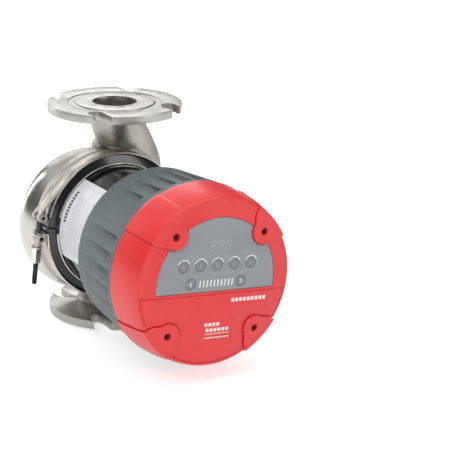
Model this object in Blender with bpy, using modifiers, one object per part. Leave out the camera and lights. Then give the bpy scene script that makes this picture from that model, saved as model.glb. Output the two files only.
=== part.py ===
"""In-line circulator pump: stainless casing, V-band clamp, wet-rotor motor and control head.

Metres, +Z up. The origin lies on the axis of the two ports, at the height of the shaft.
The ports run along Z and the shaft runs along Y, with the control face towards -Y.
Pieces on the shaft are drawn in a front-view frame: X right, Y up, Z forward (towards -Y).
"""
import math

import bmesh
import bpy
from mathutils import Matrix, Vector

# ---------------------------------------------------------------- driving dimensions
GAP = 0.0003               # air between pieces that touch
WIDE = 36                  # facets round a large, a middling and a small piece
MIDDLE = 24
SMALL = 16
COVER_FACETS = 48

SHAFT_X = -0.0115          # the shaft passes to the left of the port axis
OUTLET_Z = 0.140           # upper flange face
INLET_Z = -0.110           # lower flange face, 250 mm below the upper one
HEAD_TURN = math.radians(5.0)    # the head sits turned clockwise in its clamp
CLAMP_TURN = math.radians(6.0)   # and so does the clamp

FLANGE_R = 0.0762
FLANGE_T = 0.010
PORT_R = 0.02535
RAISED_R = 0.0455
RECESS_R = 0.0530
RECESS_DEPTH = 0.0015
SLOT_X = 0.0460
SLOT_R = 0.0081
SLOT_Y = 0.0427
NECK_R = 0.0285

COLLAR_R = 0.0857          # casing behind the clamp
COLLAR_FRONT = 0.0050
COLLAR_BACK = -0.0085
BOWL_X = -0.0190
BOWL_Z = -0.0055
BOWL_R = 0.0842
BOWL_WAIST = -0.033        # where the bowl is widest
BOWL_BACK = -0.066
VOLUTE_R = 0.0665
DIAPHRAGM = (-0.016, -0.021)
EYE_R = 0.0315
PILOT_R = 0.0703

JOINT = 0.0155             # plane between casing lip and motor flange
LIP_R = 0.0815
STRAP_R = 0.0851           # middle of the strap's thickness
STRAP_T = 0.0012
STRAP_REAR = 0.0062
STRAP_FRONT = 0.0250
BOLT_X = -0.0925           # clamp bolt, in the clamp's own frame
BOLT_F = 0.0156
PIVOT_UP = 0.0119
SADDLE_UP = -0.0122
BOLT_R = 0.0030
HINGE_X = 0.0885
HINGE_LOOP_R = 0.0034
TRUNNION_LOOP_R = 0.0046

MOTOR_R = 0.0719
MOTOR_FRONT = 0.128
CAN_R = 0.0352
CAN_WALL = 0.0008
CAN_FRONT = 0.1132
SHAFT_R = 0.0080
BEARING_BORE_R = 0.0083
ROTOR_R = 0.0334
IMPELLER_R = 0.060

SHELL_REAR = 0.1088
SHELL_REAR_R = 0.0901
COVER_REAR = 0.1968
COVER_REAR_R = 0.0966
SHELL_WALL = 0.0030
CREASE_F = 0.2428
CREASE_R = 0.0899
FACE_F = 0.2468
PANEL_R = 0.0710
PANEL_BOTTOM = -0.0086
SEAM_UP = -0.0112
PLATE_R = 0.0876
SCREW_OFFSET = 0.0528
LOBE_R = 0.0138
LOBE_RISE = 0.0015
FIN_PITCH = 11.0           # degrees between two grooves of the shell
FIN_GROUPS = ((92.5, 7), (183.5, 6), (272.5, 7), (3.5, 6))    # middle angle and number of grooves
FIN_BACK = 0.1220
FIN_FRONT = 0.1890
FIN_DEPTH = 0.0024

KEY_R = 0.0058
KEY_ROW_UP = 0.0202
KEY_PITCH = 0.02015
ARROW_X = 0.0303
ARROW_UP = 0.0010

# ---------------------------------------------------------------- scene and collections
for old in list(bpy.data.objects):
    bpy.data.objects.remove(old, do_unlink=True)

PARTS = bpy.data.collections.new("circulator_pump")
CUTTERS = bpy.data.collections.new("cutters")
for group in (PARTS, CUTTERS):
    bpy.context.scene.collection.children.link(group)


def material(name, colour, roughness, metallic):
    """A Principled material in one finish."""
    mat = bpy.data.materials.new(name)
    mat.use_nodes = True
    shader = mat.node_tree.nodes["Principled BSDF"]
    shader.inputs["Base Color"].default_value = (*colour, 1.0)
    shader.inputs["Roughness"].default_value = roughness
    shader.inputs["Metallic"].default_value = metallic
    mat.diffuse_color = (*colour, 1.0)
    return mat


CAST = material("cast_stainless", (0.46, 0.44, 0.40), 0.42, 1.0)
POLISHED = material("polished_stainless", (0.60, 0.58, 0.55), 0.18, 1.0)
DARK_STEEL = material("dark_steel", (0.06, 0.06, 0.06), 0.25, 1.0)
BLACK = material("black_enamel", (0.012, 0.012, 0.013), 0.22, 0.0)
SHELL_GREY = material("shell_grey", (0.105, 0.133, 0.141), 0.5, 0.0)
RED = material("cover_red", (0.79, 0.032, 0.035), 0.35, 0.0)
PANEL_GREY = material("panel_grey", (0.27, 0.295, 0.32), 0.4, 0.0)
KEY_GREY = material("key_grey", (0.22, 0.24, 0.26), 0.45, 0.0)
PAPER = material("label_white", (0.80, 0.80, 0.84), 0.6, 0.0)
STEEL = material("zinc_steel", (0.55, 0.55, 0.54), 0.3, 1.0)
COPPER = material("copper_winding", (0.72, 0.30, 0.14), 0.35, 1.0)
LAMINATION = material("lamination_steel", (0.30, 0.30, 0.32), 0.45, 1.0)
CERAMIC = material("bearing_ceramic", (0.75, 0.72, 0.66), 0.3, 0.0)
RUBBER = material("seal_rubber", (0.02, 0.02, 0.02), 0.8, 0.0)
BOARD = material("board_green", (0.02, 0.16, 0.07), 0.5, 0.0)
ALUMINIUM = material("aluminium", (0.70, 0.70, 0.72), 0.35, 1.0)
BRASS = material("brass", (0.72, 0.50, 0.20), 0.3, 1.0)


# ---------------------------------------------------------------- building helpers
def empty(name, location, rotation=(0.0, 0.0, 0.0), parent=None):
    frame = bpy.data.objects.new(name, None)
    frame.empty_display_size = 0.02
    frame.location = location
    frame.rotation_euler = rotation
    frame.parent = parent
    PARTS.objects.link(frame)
    return frame


def add(name, mesh, mat=None, parent=None, at=(0.0, 0.0, 0.0), guide=False):
    """Put a mesh in the scene: a named part, or a cutter when guide is set."""
    obj = bpy.data.objects.new(name, mesh)
    obj.parent = parent
    obj.location = at
    if guide:
        obj.hide_render = True
        obj.display_type = "WIRE"
        CUTTERS.objects.link(obj)
    else:
        mesh.materials.append(mat)
        PARTS.objects.link(obj)
    return obj


def from_bmesh(name, bm, smooth_angle=None, **where):
    mesh = bpy.data.meshes.new(name)
    bm.to_mesh(mesh)
    bm.free()
    if smooth_angle:
        mesh.shade_smooth()
        mesh.set_sharp_from_angle(angle=smooth_angle)
    return add(name, mesh, **where)


def turned(name, profile, steps, closed=True, **where):
    """Revolve (radius, forward) points about the local Z axis, outer side front to back."""
    mesh = bpy.data.meshes.new(name)
    count = len(profile)
    edges = [(i, i + 1) for i in range(count - 1)]
    if closed:
        edges.append((count - 1, 0))
    mesh.from_pydata([(r, 0.0, f) for r, f in profile], edges, [])
    obj = add(name, mesh, **where)
    screw = obj.modifiers.new("turn", "SCREW")
    screw.steps = steps
    screw.render_steps = steps
    screw.use_merge_vertices = True
    screw.merge_threshold = 0.00001
    return obj


def ring(name, inner, outer, back, front, steps, **where):
    """A plain turned ring."""
    profile = [(inner, front), (outer, front), (outer, back), (inner, back)]
    return turned(name, profile, steps, **where)


def rod(name, radius, back, front, steps=24, at=(0.0, 0.0), tip_radius=None, **where):
    """A cylinder, or a cone when tip_radius is given, along the local Z axis."""
    bm = bmesh.new()
    bmesh.ops.create_cone(bm, cap_ends=True, segments=steps, radius1=radius,
                          radius2=radius if tip_radius is None else tip_radius,
                          depth=front - back)
    bmesh.ops.translate(bm, verts=bm.verts, vec=(at[0], at[1], (front + back) / 2))
    return from_bmesh(name, bm, math.radians(40), **where)


def cross_rod(name, radius, low, high, axis, at, steps=24, **where):
    """A cylinder along local X or Y, from low to high on that axis."""
    turn = {"X": Matrix.Rotation(math.pi / 2, 3, "Y"), "Y": Matrix.Rotation(-math.pi / 2, 3, "X")}[axis]
    bm = bmesh.new()
    bmesh.ops.create_cone(bm, cap_ends=True, segments=steps, radius1=radius, radius2=radius,
                          depth=high - low)
    bmesh.ops.rotate(bm, verts=bm.verts, cent=(0, 0, 0), matrix=turn)
    centre = Vector(at)
    centre["XY".index(axis)] = (low + high) / 2
    bmesh.ops.translate(bm, verts=bm.verts, vec=centre)
    return from_bmesh(name, bm, math.radians(40), **where)


def block(name, low, high, bevel=0.0, **where):
    """A box between two corners, with its edges rounded when bevel is given."""
    bm = bmesh.new()
    bmesh.ops.create_cube(bm, size=1.0)
    size = Vector(high) - Vector(low)
    bmesh.ops.scale(bm, verts=bm.verts, vec=size)
    bmesh.ops.translate(bm, verts=bm.verts, vec=(Vector(high) + Vector(low)) / 2)
    obj = from_bmesh(name, bm, **where)
    if bevel:
        rounding = obj.modifiers.new("edges", "BEVEL")
        rounding.width = bevel
        rounding.segments = 2
    return obj


def prism(name, outline, back, front, **where):
    """A flat closed outline of (x, y) points, extruded along local Z."""
    bm = bmesh.new()
    face = bm.faces.new([bm.verts.new((x, y, back)) for x, y in outline])
    grown = bmesh.ops.extrude_face_region(bm, geom=[face])
    top = [v for v in grown["geom"] if isinstance(v, bmesh.types.BMVert)]
    bmesh.ops.translate(bm, verts=top, vec=(0, 0, front - back))
    bmesh.ops.recalc_face_normals(bm, faces=bm.faces)
    return from_bmesh(name, bm, **where)


def arc(centre, radius, start, end, count):
    """Points along an arc, angles in radians."""
    turn = (end - start) / (count - 1)
    return [(centre[0] + radius * math.cos(start + i * turn),
             centre[1] + radius * math.sin(start + i * turn)) for i in range(count)]


def ribbon(name, path, back, front, thickness, **where):
    """A bent strip: an open (x, y) path drawn out along local Z, thickened both ways."""
    bm = bmesh.new()
    low = [bm.verts.new((x, y, back)) for x, y in path]
    high = [bm.verts.new((x, y, front)) for x, y in path]
    for i in range(len(path) - 1):
        bm.faces.new((low[i], low[i + 1], high[i + 1], high[i]))
    obj = from_bmesh(name, bm, **where)
    skin = obj.modifiers.new("thickness", "SOLIDIFY")
    skin.thickness = thickness
    skin.offset = 0.0
    skin.use_even_offset = True
    return obj


def pipe(name, points, radii, sides=16, width=1.0, **where):
    """A smooth tube through points, with its own radius at each, closed at both ends."""
    data = bpy.data.curves.new(name, "CURVE")
    data.dimensions = "3D"
    data.resolution_u = 2
    data.bevel_depth = 1.0
    data.bevel_resolution = (sides - 4) // 2
    data.use_fill_caps = True
    spline = data.splines.new("BEZIER")
    spline.bezier_points.add(len(points) - 1)
    for knot, place, radius in zip(spline.bezier_points, points, radii):
        knot.co = place
        knot.radius = radius
        knot.handle_left_type = "AUTO"
        knot.handle_right_type = "AUTO"
    curve = bpy.data.objects.new(name + "_curve", data)
    PARTS.objects.link(curve)
    graph = bpy.context.evaluated_depsgraph_get()
    mesh = bpy.data.meshes.new_from_object(curve.evaluated_get(graph))
    bpy.data.objects.remove(curve, do_unlink=True)
    bm = bmesh.new()
    bm.from_mesh(mesh)
    bpy.data.meshes.remove(mesh)
    bmesh.ops.remove_doubles(bm, verts=bm.verts, dist=0.00001)
    bmesh.ops.scale(bm, verts=bm.verts, vec=(width, 1.0, 1.0))
    bmesh.ops.recalc_face_normals(bm, faces=bm.faces)
    return from_bmesh(name, bm, **where)


def boolean(obj, other, operation):
    step = obj.modifiers.new(operation.lower(), "BOOLEAN")
    step.operation = operation
    step.solver = "EXACT"
    step.object = other
    return obj


def cut(obj, *others):
    for other in others:
        boolean(obj, other, "DIFFERENCE")
    return obj


def join(obj, *others):
    for other in others:
        boolean(obj, other, "UNION")
    return obj


FRONT_VIEW = math.radians(90)
shaft_axis = empty("shaft_axis", (SHAFT_X, 0.0, 0.0), (FRONT_VIEW, 0.0, 0.0))
bowl_axis = empty("bowl_axis", (BOWL_X, 0.0, BOWL_Z), (FRONT_VIEW, 0.0, 0.0))
head_axis = empty("head_axis", (SHAFT_X, 0.0, 0.0), (FRONT_VIEW, HEAD_TURN, 0.0))
clamp_axis = empty("clamp_axis", (SHAFT_X, 0.0, 0.0), (FRONT_VIEW, CLAMP_TURN, 0.0))
bolt_pivot = empty("bolt_pivot", (BOLT_X, PIVOT_UP, BOLT_F), parent=clamp_axis)


# ---------------------------------------------------------------- casing
def bowl_radius(forward):
    """Radius of the bowl's outer skin, widest at its waist and closing at the back."""
    if forward > BOWL_WAIST:
        reach = 0.0705
        return BOWL_R * math.sqrt(1 - ((forward - BOWL_WAIST) / reach) ** 2)
    along = (BOWL_WAIST - forward) / (BOWL_WAIST - BOWL_BACK)
    return BOWL_R * max(0.0, 1 - along ** 2.4) ** (1 / 2.4)


def bowl_profile(front, back, count, shrink=0.0):
    """Closed-ended profile of the bowl between two planes."""
    points = [(0.0, front)]
    for i in range(count):
        ease = math.sin(0.5 * math.pi * i / (count - 1))
        forward = front + (back - front) * ease
        points.append((max(bowl_radius(forward) - shrink, 0.0), forward))
    if points[-1][0] > 0.0:
        points.append((0.0, back))
    return points


def flange(name, face_z, outward):
    """A round flange whose face looks along outward (+1 up, -1 down)."""
    def level(depth):
        return face_z - outward * depth

    profile = [(0.0, level(0.0)), (RAISED_R, level(0.0)), (RAISED_R, level(RECESS_DEPTH)),
               (RECESS_R, level(RECESS_DEPTH)), (RECESS_R, level(0.0004)),
               (FLANGE_R, level(0.0004)), (FLANGE_R, level(FLANGE_T)), (0.0, level(FLANGE_T))]
    if outward < 0:
        profile.reverse()
    return turned(name, profile, WIDE, closed=False, guide=True)


def flange_slots(name, face_z):
    """Four bolt slots, parallel to Y and open at the rim, as one cutter."""
    bm = bmesh.new()
    for side in (-1, 1):
        for end in (-1, 1):
            centre = (side * SLOT_X, end * SLOT_Y)
            outline = arc(centre, SLOT_R, math.pi, 2 * math.pi, 7)
            outline += [(centre[0] + SLOT_R, end * SLOT_Y + 0.06), (centre[0] - SLOT_R, end * SLOT_Y + 0.06)]
            if end < 0:
                outline = [(x, 2 * centre[1] - y) for x, y in outline]
            bottom = [bm.verts.new((x, y, face_z - 0.02)) for x, y in outline]
            top = [bm.verts.new((x, y, face_z + 0.02)) for x, y in outline]
            count = len(outline)
            bm.faces.new(bottom)
            bm.faces.new(top)
            for i in range(count):
                bm.faces.new((bottom[i], bottom[(i + 1) % count], top[(i + 1) % count], top[i]))
    bmesh.ops.recalc_face_normals(bm, faces=bm.faces)
    return from_bmesh(name, bm, guide=True)


def pump_casing():
    """Volute, suction bowl, two necks and two slotted flanges in one casting."""
    collar_profile = [
        (0.0, JOINT - GAP / 2), (LIP_R, JOINT - GAP / 2), (LIP_R, 0.0122), (0.0745, 0.0078),
        (0.0735, COLLAR_FRONT), (COLLAR_R - 0.0015, COLLAR_FRONT), (COLLAR_R, COLLAR_FRONT - 0.0015),
        (COLLAR_R, COLLAR_BACK + 0.0015), (COLLAR_R - 0.0015, COLLAR_BACK), (0.0805, -0.0100),
        (0.0780, -0.0200), (0.0, -0.0200)]
    casing = turned("pump_casing", collar_profile, WIDE, closed=False, mat=CAST, parent=shaft_axis)
    bowl = turned("bowl_form", bowl_profile(0.0, BOWL_BACK, 9), WIDE, closed=False, parent=bowl_axis,
                  guide=True)
    clamp_space = ring("clamp_space", 0.020, 0.0885, COLLAR_FRONT, 0.040, WIDE, parent=shaft_axis, guide=True)

    outlet_path = [(0.0, 0.0, 0.134), (0.004, 0.003, 0.112), (0.016, 0.012, 0.098),
                   (0.028, 0.020, 0.080), (0.040, 0.024, 0.055), (0.044, 0.024, 0.020)]
    outlet = pipe("outlet_neck", outlet_path, [NECK_R, NECK_R, 0.029, 0.030, 0.030, 0.026], guide=True)
    web_path = [(-0.009, 0.0, 0.134), (-0.010, 0.003, 0.115), (-0.004, 0.012, 0.096), (-0.003, 0.020, 0.078)]
    web = pipe("outlet_web", web_path, [0.016, 0.015, 0.013, 0.017], sides=12, guide=True)
    inlet = rod("inlet_neck", NECK_R, INLET_Z + 0.005, -0.0890, 20, guide=True)
    inlet_back = rod("inlet_neck_back", 0.0295, INLET_Z + 0.006, -0.060, 20, at=(-0.004, 0.018),
                     tip_radius=0.036,
                     guide=True)
    for neck in (outlet, web, inlet_back):
        cut(neck, clamp_space)
    join(casing, bowl, flange("inlet_flange", INLET_Z, -1), inlet, inlet_back)
    join(casing, flange("outlet_flange", OUTLET_Z, 1), outlet, web)

    volute = turned("volute_space", [
        (0.0, 0.020), (PILOT_R, 0.020), (PILOT_R, 0.0085), (VOLUTE_R, 0.0085),
        (VOLUTE_R, DIAPHRAGM[0]), (0.0, DIAPHRAGM[0])], WIDE, closed=False, parent=shaft_axis, guide=True)
    suction = turned("suction_space", bowl_profile(DIAPHRAGM[1], -0.060, 6, shrink=0.0095), MIDDLE,
                     closed=False, parent=bowl_axis, guide=True)
    eye = rod("eye_space", EYE_R, -0.024, -0.012, MIDDLE, parent=shaft_axis, guide=True)
    outlet_way = [(0.0, 0.0, 0.150), (0.0, 0.0, 0.128), (0.004, 0.003, 0.112), (0.016, 0.012, 0.098),
                  (0.028, 0.015, 0.080), (0.035, 0.007, 0.055)]
    outlet_bore = pipe("outlet_space", outlet_way, [PORT_R, PORT_R, 0.0248, 0.024, 0.019, 0.0115], sides=20,
                       guide=True)
    inlet_bore = rod("inlet_space", PORT_R, -0.120, -0.094, 24, guide=True)
    inlet_way = [(0.0, 0.010, -0.097), (-0.002, 0.020, -0.086), (-0.006, 0.034, -0.072),
                 (-0.008, 0.040, -0.050)]
    inlet_bend = pipe("inlet_bend_space", inlet_way, [0.0135, 0.0135, 0.0140, 0.0140], sides=12, width=1.6,
                      guide=True)
    cut(casing, volute, suction, eye, outlet_bore, inlet_bore, inlet_bend)
    cut(casing, flange_slots("outlet_slots", OUTLET_Z), flange_slots("inlet_slots", INLET_Z))


def casing_seals():
    section = arc((0.0690, 0.0123), 0.0009, math.pi / 2, -1.5 * math.pi, 7)[:-1]
    turned("casing_o_ring", section, WIDE, mat=RUBBER, parent=head_axis)
    ring("wear_ring", 0.0291, EYE_R - GAP, -0.0225, -0.0150, MIDDLE, mat=BRASS, parent=shaft_axis)


# ---------------------------------------------------------------- V-band clamp
def tangent_angle():
    """Direction, in the clamp's frame, of the normal shared by the strap and its bolt loop."""
    distance = math.hypot(BOLT_X, PIVOT_UP)
    lean = math.atan2(PIVOT_UP, BOLT_X)
    return lean - math.acos((STRAP_R - TRUNNION_LOOP_R) / distance)


def hinge_curl():
    """The strap's end, curled round the hinge pin from its inner side."""
    return arc((HINGE_X, 0.0), HINGE_LOOP_R, 2.35 * math.pi, math.pi, 10)


def clamp_straps():
    leave = tangent_angle()
    upper = hinge_curl() + arc((0, 0), STRAP_R, math.radians(3), leave, 26)
    upper += arc((BOLT_X, PIVOT_UP), TRUNNION_LOOP_R, leave, leave + math.radians(250), 12)
    strap = ribbon("clamp_strap_upper", upper, STRAP_REAR, STRAP_FRONT, STRAP_T, mat=CAST, parent=clamp_axis)
    third = (STRAP_FRONT - STRAP_REAR) / 3
    low_third = STRAP_REAR + third
    high_third = STRAP_FRONT - third
    for tag, back, front in (("rear", 0.0, low_third + GAP), ("front", high_third - GAP, 0.03)):
        cut(strap, block("knuckle_gap_" + tag, (0.080, -0.006, back), (0.096, 0.0052, front),
                         parent=clamp_axis, guide=True))
    slot_half = BOLT_R + 0.0007
    cut(strap, block("pivot_slot", (-0.105, 0.0045, BOLT_F - slot_half),
                     (-0.0885, 0.0168, BOLT_F + slot_half),
                     parent=clamp_axis, guide=True))

    ear_up = -0.0067
    ear_start = math.pi + math.asin(-ear_up / STRAP_R) + math.radians(1.6)
    lower = [(x, -y) for x, y in hinge_curl()] + arc((0, 0), STRAP_R, math.radians(-3),
                                                     ear_start - 2 * math.pi, 32)
    lower += [(-0.0862, ear_up - 0.0003), (-0.0874, ear_up), (-0.0957, ear_up)]
    strap = ribbon("clamp_strap_lower", lower, STRAP_REAR, STRAP_FRONT, STRAP_T, mat=CAST, parent=clamp_axis)
    cut(strap, block("knuckle_gap_middle", (0.080, -0.0052, low_third - GAP),
                     (0.096, 0.006, high_third + GAP),
                     parent=clamp_axis, guide=True))
    cut(strap, block("ear_slot", (-0.105, -0.012, BOLT_F - slot_half), (-0.0885, 0.0, BOLT_F + slot_half),
                     parent=clamp_axis, guide=True))
    rod("clamp_hinge_pin", HINGE_LOOP_R - STRAP_T / 2 - GAP, STRAP_REAR - 0.001, STRAP_FRONT + 0.001, 16,
        at=(HINGE_X, 0.0), mat=STEEL, parent=clamp_axis)


def v_retainers():
    """Two V-section half rings that squeeze the lip and the motor flange together."""
    section = [(0.0842, 0.0222), (0.0842, 0.0088), (0.0750, 0.0057), (0.0752, 0.0074),
               (0.0820, 0.0118), (0.0820, 0.0192), (0.0752, 0.0236), (0.0726, 0.0248), (0.0730, 0.0258)]
    for tag, low, high in (("upper", -0.1, 0.0012), ("lower", -0.0012, 0.1)):
        half = turned("v_retainer_" + tag, section, WIDE, mat=DARK_STEEL, parent=clamp_axis)
        cut(half, block("retainer_gap_" + tag, (-0.1, low, 0.0), (0.1, high, 0.04), parent=clamp_axis,
                        guide=True))


def clamp_fastener():
    """Hinged T-bolt with its saddle, washer and long nut, drawn from the bolt's pivot."""
    reach = SADDLE_UP - PIVOT_UP
    bolt = rod("clamp_bolt", 0.0037, -0.0072, 0.0104, SMALL, mat=STEEL, parent=bolt_pivot)
    shank = cross_rod("bolt_shank", BOLT_R, -0.0787, -0.0005, "Y", (0, 0, 0), SMALL, parent=bolt_pivot,
                      guide=True)
    tip = cross_rod("bolt_tip", 0.0022, -0.0797, -0.078, "Y", (0, 0, 0), SMALL, parent=bolt_pivot, guide=True)
    hollow = [rod("bolt_hollow_" + tag, 0.0021, back, front, 12, parent=bolt_pivot, guide=True)
              for tag, back, front in (("front", 0.0074, 0.012), ("rear", -0.009, -0.0046))]
    join(bolt, shank, tip)
    cut(bolt, *hollow)

    saddle = rod("clamp_saddle", 0.0042, -0.0070, 0.0104, SMALL, at=(0.0, reach), mat=STEEL,
                 parent=bolt_pivot)
    stem = cross_rod("saddle_stem", 0.0052, reach - 0.0105, reach - 0.0005, "Y", (0, 0, 0), SMALL,
                     parent=bolt_pivot,
                     guide=True)
    way = cross_rod("saddle_way", BOLT_R + 0.0004, reach - 0.02, reach + 0.01, "Y", (0, 0, 0), SMALL,
                    parent=bolt_pivot, guide=True)
    ends = [rod("saddle_hollow_" + tag, 0.0024, back, front, 12, at=(0.0, reach), parent=bolt_pivot,
                guide=True)
            for tag, back, front in (("front", 0.0072, 0.012), ("rear", -0.009, -0.0044))]
    join(saddle, stem)
    cut(saddle, way, *ends)

    washer_top = reach - 0.0105 - GAP
    washer = cross_rod("clamp_washer", 0.0068, washer_top - 0.0014, washer_top, "Y", (0, 0, 0), SMALL,
                       mat=STEEL,
                       parent=bolt_pivot)
    cut(washer, cross_rod("washer_hole", BOLT_R + 0.0003, washer_top - 0.01, washer_top + 0.01, "Y",
                          (0, 0, 0),
                          SMALL, parent=bolt_pivot, guide=True))
    nut_top = washer_top - 0.0014 - GAP
    nut = cross_rod("clamp_nut", 0.0057, nut_top - 0.0170, nut_top, "Y", (0, 0, 0), 6, mat=STEEL,
                    parent=bolt_pivot)
    cut(nut, cross_rod("nut_hole", BOLT_R + 0.0003, nut_top - 0.03, nut_top + 0.01, "Y", (0, 0, 0), SMALL,
                       parent=bolt_pivot, guide=True))


# ---------------------------------------------------------------- motor
def motor():
    turned("motor_housing", [
        (0.012, MOTOR_FRONT), (MOTOR_R - 0.002, MOTOR_FRONT), (MOTOR_R, MOTOR_FRONT - 0.002),
        (MOTOR_R, 0.0246),
        (0.0740, 0.0232), (LIP_R, 0.0188), (LIP_R, JOINT + GAP / 2), (PILOT_R, JOINT + GAP / 2),
        (PILOT_R, 0.0222), (0.0687, 0.0222), (0.0687, 0.124), (0.012, 0.124)],
        WIDE, mat=BLACK, parent=head_axis)
    label = arc((0, 0), MOTOR_R + 0.0005, math.radians(128), math.radians(204), 20)
    ribbon("rating_label", label, 0.0272, 0.0880, 0.0002, mat=PAPER, parent=head_axis)
    turned("bearing_plate", [
        (0.0142, 0.0219), (PILOT_R - 0.0004, 0.0219), (PILOT_R - 0.0004, 0.0137), (0.0678, 0.0137),
        (0.0678, 0.0109), (PILOT_R - 0.0004, 0.0109), (PILOT_R - 0.0004, 0.0095), (0.022, 0.0095),
        (0.020, 0.0060), (0.0142, 0.0060)], WIDE, mat=ALUMINIUM, parent=head_axis)
    turned("rotor_can", [
        (0.0, CAN_FRONT), (CAN_R, CAN_FRONT), (CAN_R, 0.0240), (0.0684, 0.0240), (0.0684, 0.0225),
        (CAN_R - CAN_WALL, 0.0225), (CAN_R - CAN_WALL, CAN_FRONT - CAN_WALL), (0.0, CAN_FRONT - CAN_WALL)],
        MIDDLE, closed=False, mat=POLISHED, parent=head_axis)
    ring("stator_core", CAN_R + 0.0005, 0.0683, 0.042, 0.098, MIDDLE, mat=LAMINATION, parent=head_axis)
    for tag, back, front in (("rear", 0.0262, 0.0417), ("front", 0.0983, 0.1120)):
        middle = (back + front) / 2
        turned("winding_" + tag, [
            (0.040, front), (0.058, front), (0.062, middle), (0.058, back), (0.040, back)],
            MIDDLE, mat=COPPER, parent=head_axis)
    ring("rear_bearing", BEARING_BORE_R, 0.0139, 0.0065, 0.0200, SMALL, mat=CERAMIC, parent=head_axis)
    ring("front_bearing", BEARING_BORE_R, 0.0139, 0.1030, 0.1119, SMALL, mat=CERAMIC, parent=head_axis)
    ring("bearing_holder", 0.0142, CAN_R - CAN_WALL - GAP, 0.1050, 0.1119, MIDDLE, mat=ALUMINIUM,
         parent=head_axis)


def rotor():
    turned("shaft", [(0.0, 0.1105), (SHAFT_R, 0.1105), (SHAFT_R, -0.0200), (0.005, -0.0200), (0.005, -0.0295),
                     (0.0, -0.0295)], SMALL, closed=False, mat=STEEL, parent=head_axis)
    ring("rotor_core", BEARING_BORE_R, ROTOR_R, 0.034, 0.100, MIDDLE, mat=LAMINATION, parent=head_axis)
    ring("thrust_bearing", BEARING_BORE_R, 0.0136, 0.0204, 0.0244, SMALL, mat=CERAMIC, parent=head_axis)
    impeller()
    nut = rod("impeller_nut", 0.0080, -0.0270, -0.0203, 6, mat=STEEL, parent=head_axis)
    cut(nut, rod("impeller_nut_hole", 0.0053, -0.03, -0.01, 16, parent=head_axis, guide=True))


def blade_outline(start_angle):
    """One backward-curved blade, as a thin outline between the eye and the rim."""
    inner, outer, count, half = 0.022, IMPELLER_R - 0.0006, 5, 0.0010
    pressure, suction = [], []
    for i in range(count):
        part = i / (count - 1)
        radius = inner + (outer - inner) * part
        angle = start_angle + math.radians(72) * part ** 0.9
        pressure.append((radius * math.cos(angle + half / radius), radius * math.sin(angle + half / radius)))
        suction.append((radius * math.cos(angle - half / radius), radius * math.sin(angle - half / radius)))
    return pressure + suction[::-1]


def impeller():
    """Closed impeller: hub and rear shroud, six blades, and a front shroud with its eye ring."""
    wheel = turned("impeller", [
        (BEARING_BORE_R, 0.0030), (0.0130, 0.0030), (0.0140, 0.0020), (IMPELLER_R, 0.0020), (IMPELLER_R, 0.0),
        (0.0150, -0.0005), (0.0125, -0.0040), (0.0125, -0.0200), (BEARING_BORE_R, -0.0200)],
        MIDDLE, mat=POLISHED, parent=head_axis)
    for i in range(6):
        blade = prism("blade_" + str(i + 1), blade_outline(i * math.pi / 3), -0.0105, 0.0005,
                      parent=head_axis,
                      guide=True)
        join(wheel, blade)
    shroud = turned("front_shroud", [
        (IMPELLER_R, -0.0100), (IMPELLER_R, -0.0120), (0.0305, -0.0120), (0.0285, -0.0135), (0.0285, -0.0205),
        (0.0262, -0.0205), (0.0262, -0.0115), (0.0280, -0.0100)], MIDDLE, parent=head_axis, guide=True)
    join(wheel, shroud)


# ---------------------------------------------------------------- head shell
def shell_radius(forward):
    part = (forward - SHELL_REAR) / (COVER_REAR - SHELL_REAR)
    return SHELL_REAR_R + (COVER_REAR_R - SHELL_REAR_R) * part


def fin_angles():
    """Angle of each groove's steep wall: a group of grooves between each two pads."""
    for middle, count in FIN_GROUPS:
        for i in range(count):
            yield math.radians(middle + (i - (count - 1) / 2) * FIN_PITCH)


def fin_grooves():
    """Sawtooth grooves that deepen towards the front, as one cutter."""
    bm = bmesh.new()
    width = math.radians(FIN_PITCH * 0.84)
    reach = 0.004
    for steep in fin_angles():
        shallow = steep + width
        rows = []
        for forward, depth in ((FIN_BACK, -0.0002), (FIN_FRONT, FIN_DEPTH)):
            skin = shell_radius(forward)
            rows.append([(steep, skin - depth, forward), (shallow, skin + 0.0001, forward),
                         (shallow, skin + reach, forward), (steep, skin + reach, forward)])
        rings = [[bm.verts.new((r * math.cos(a), r * math.sin(a), f)) for a, r, f in row] for row in rows]
        bm.faces.new(rings[0])
        bm.faces.new(rings[1])
        for i in range(4):
            j = (i + 1) % 4
            bm.faces.new((rings[0][i], rings[0][j], rings[1][j], rings[1][i]))
    bmesh.ops.recalc_face_normals(bm, faces=bm.faces)
    return from_bmesh("fin_grooves", bm, parent=head_axis, guide=True)


def corners():
    """The four screw places on the head, from the upper right anticlockwise."""
    for i, (right, up) in enumerate(((1, 1), (-1, 1), (-1, -1), (1, -1))):
        yield i + 1, right * SCREW_OFFSET, up * SCREW_OFFSET


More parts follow.
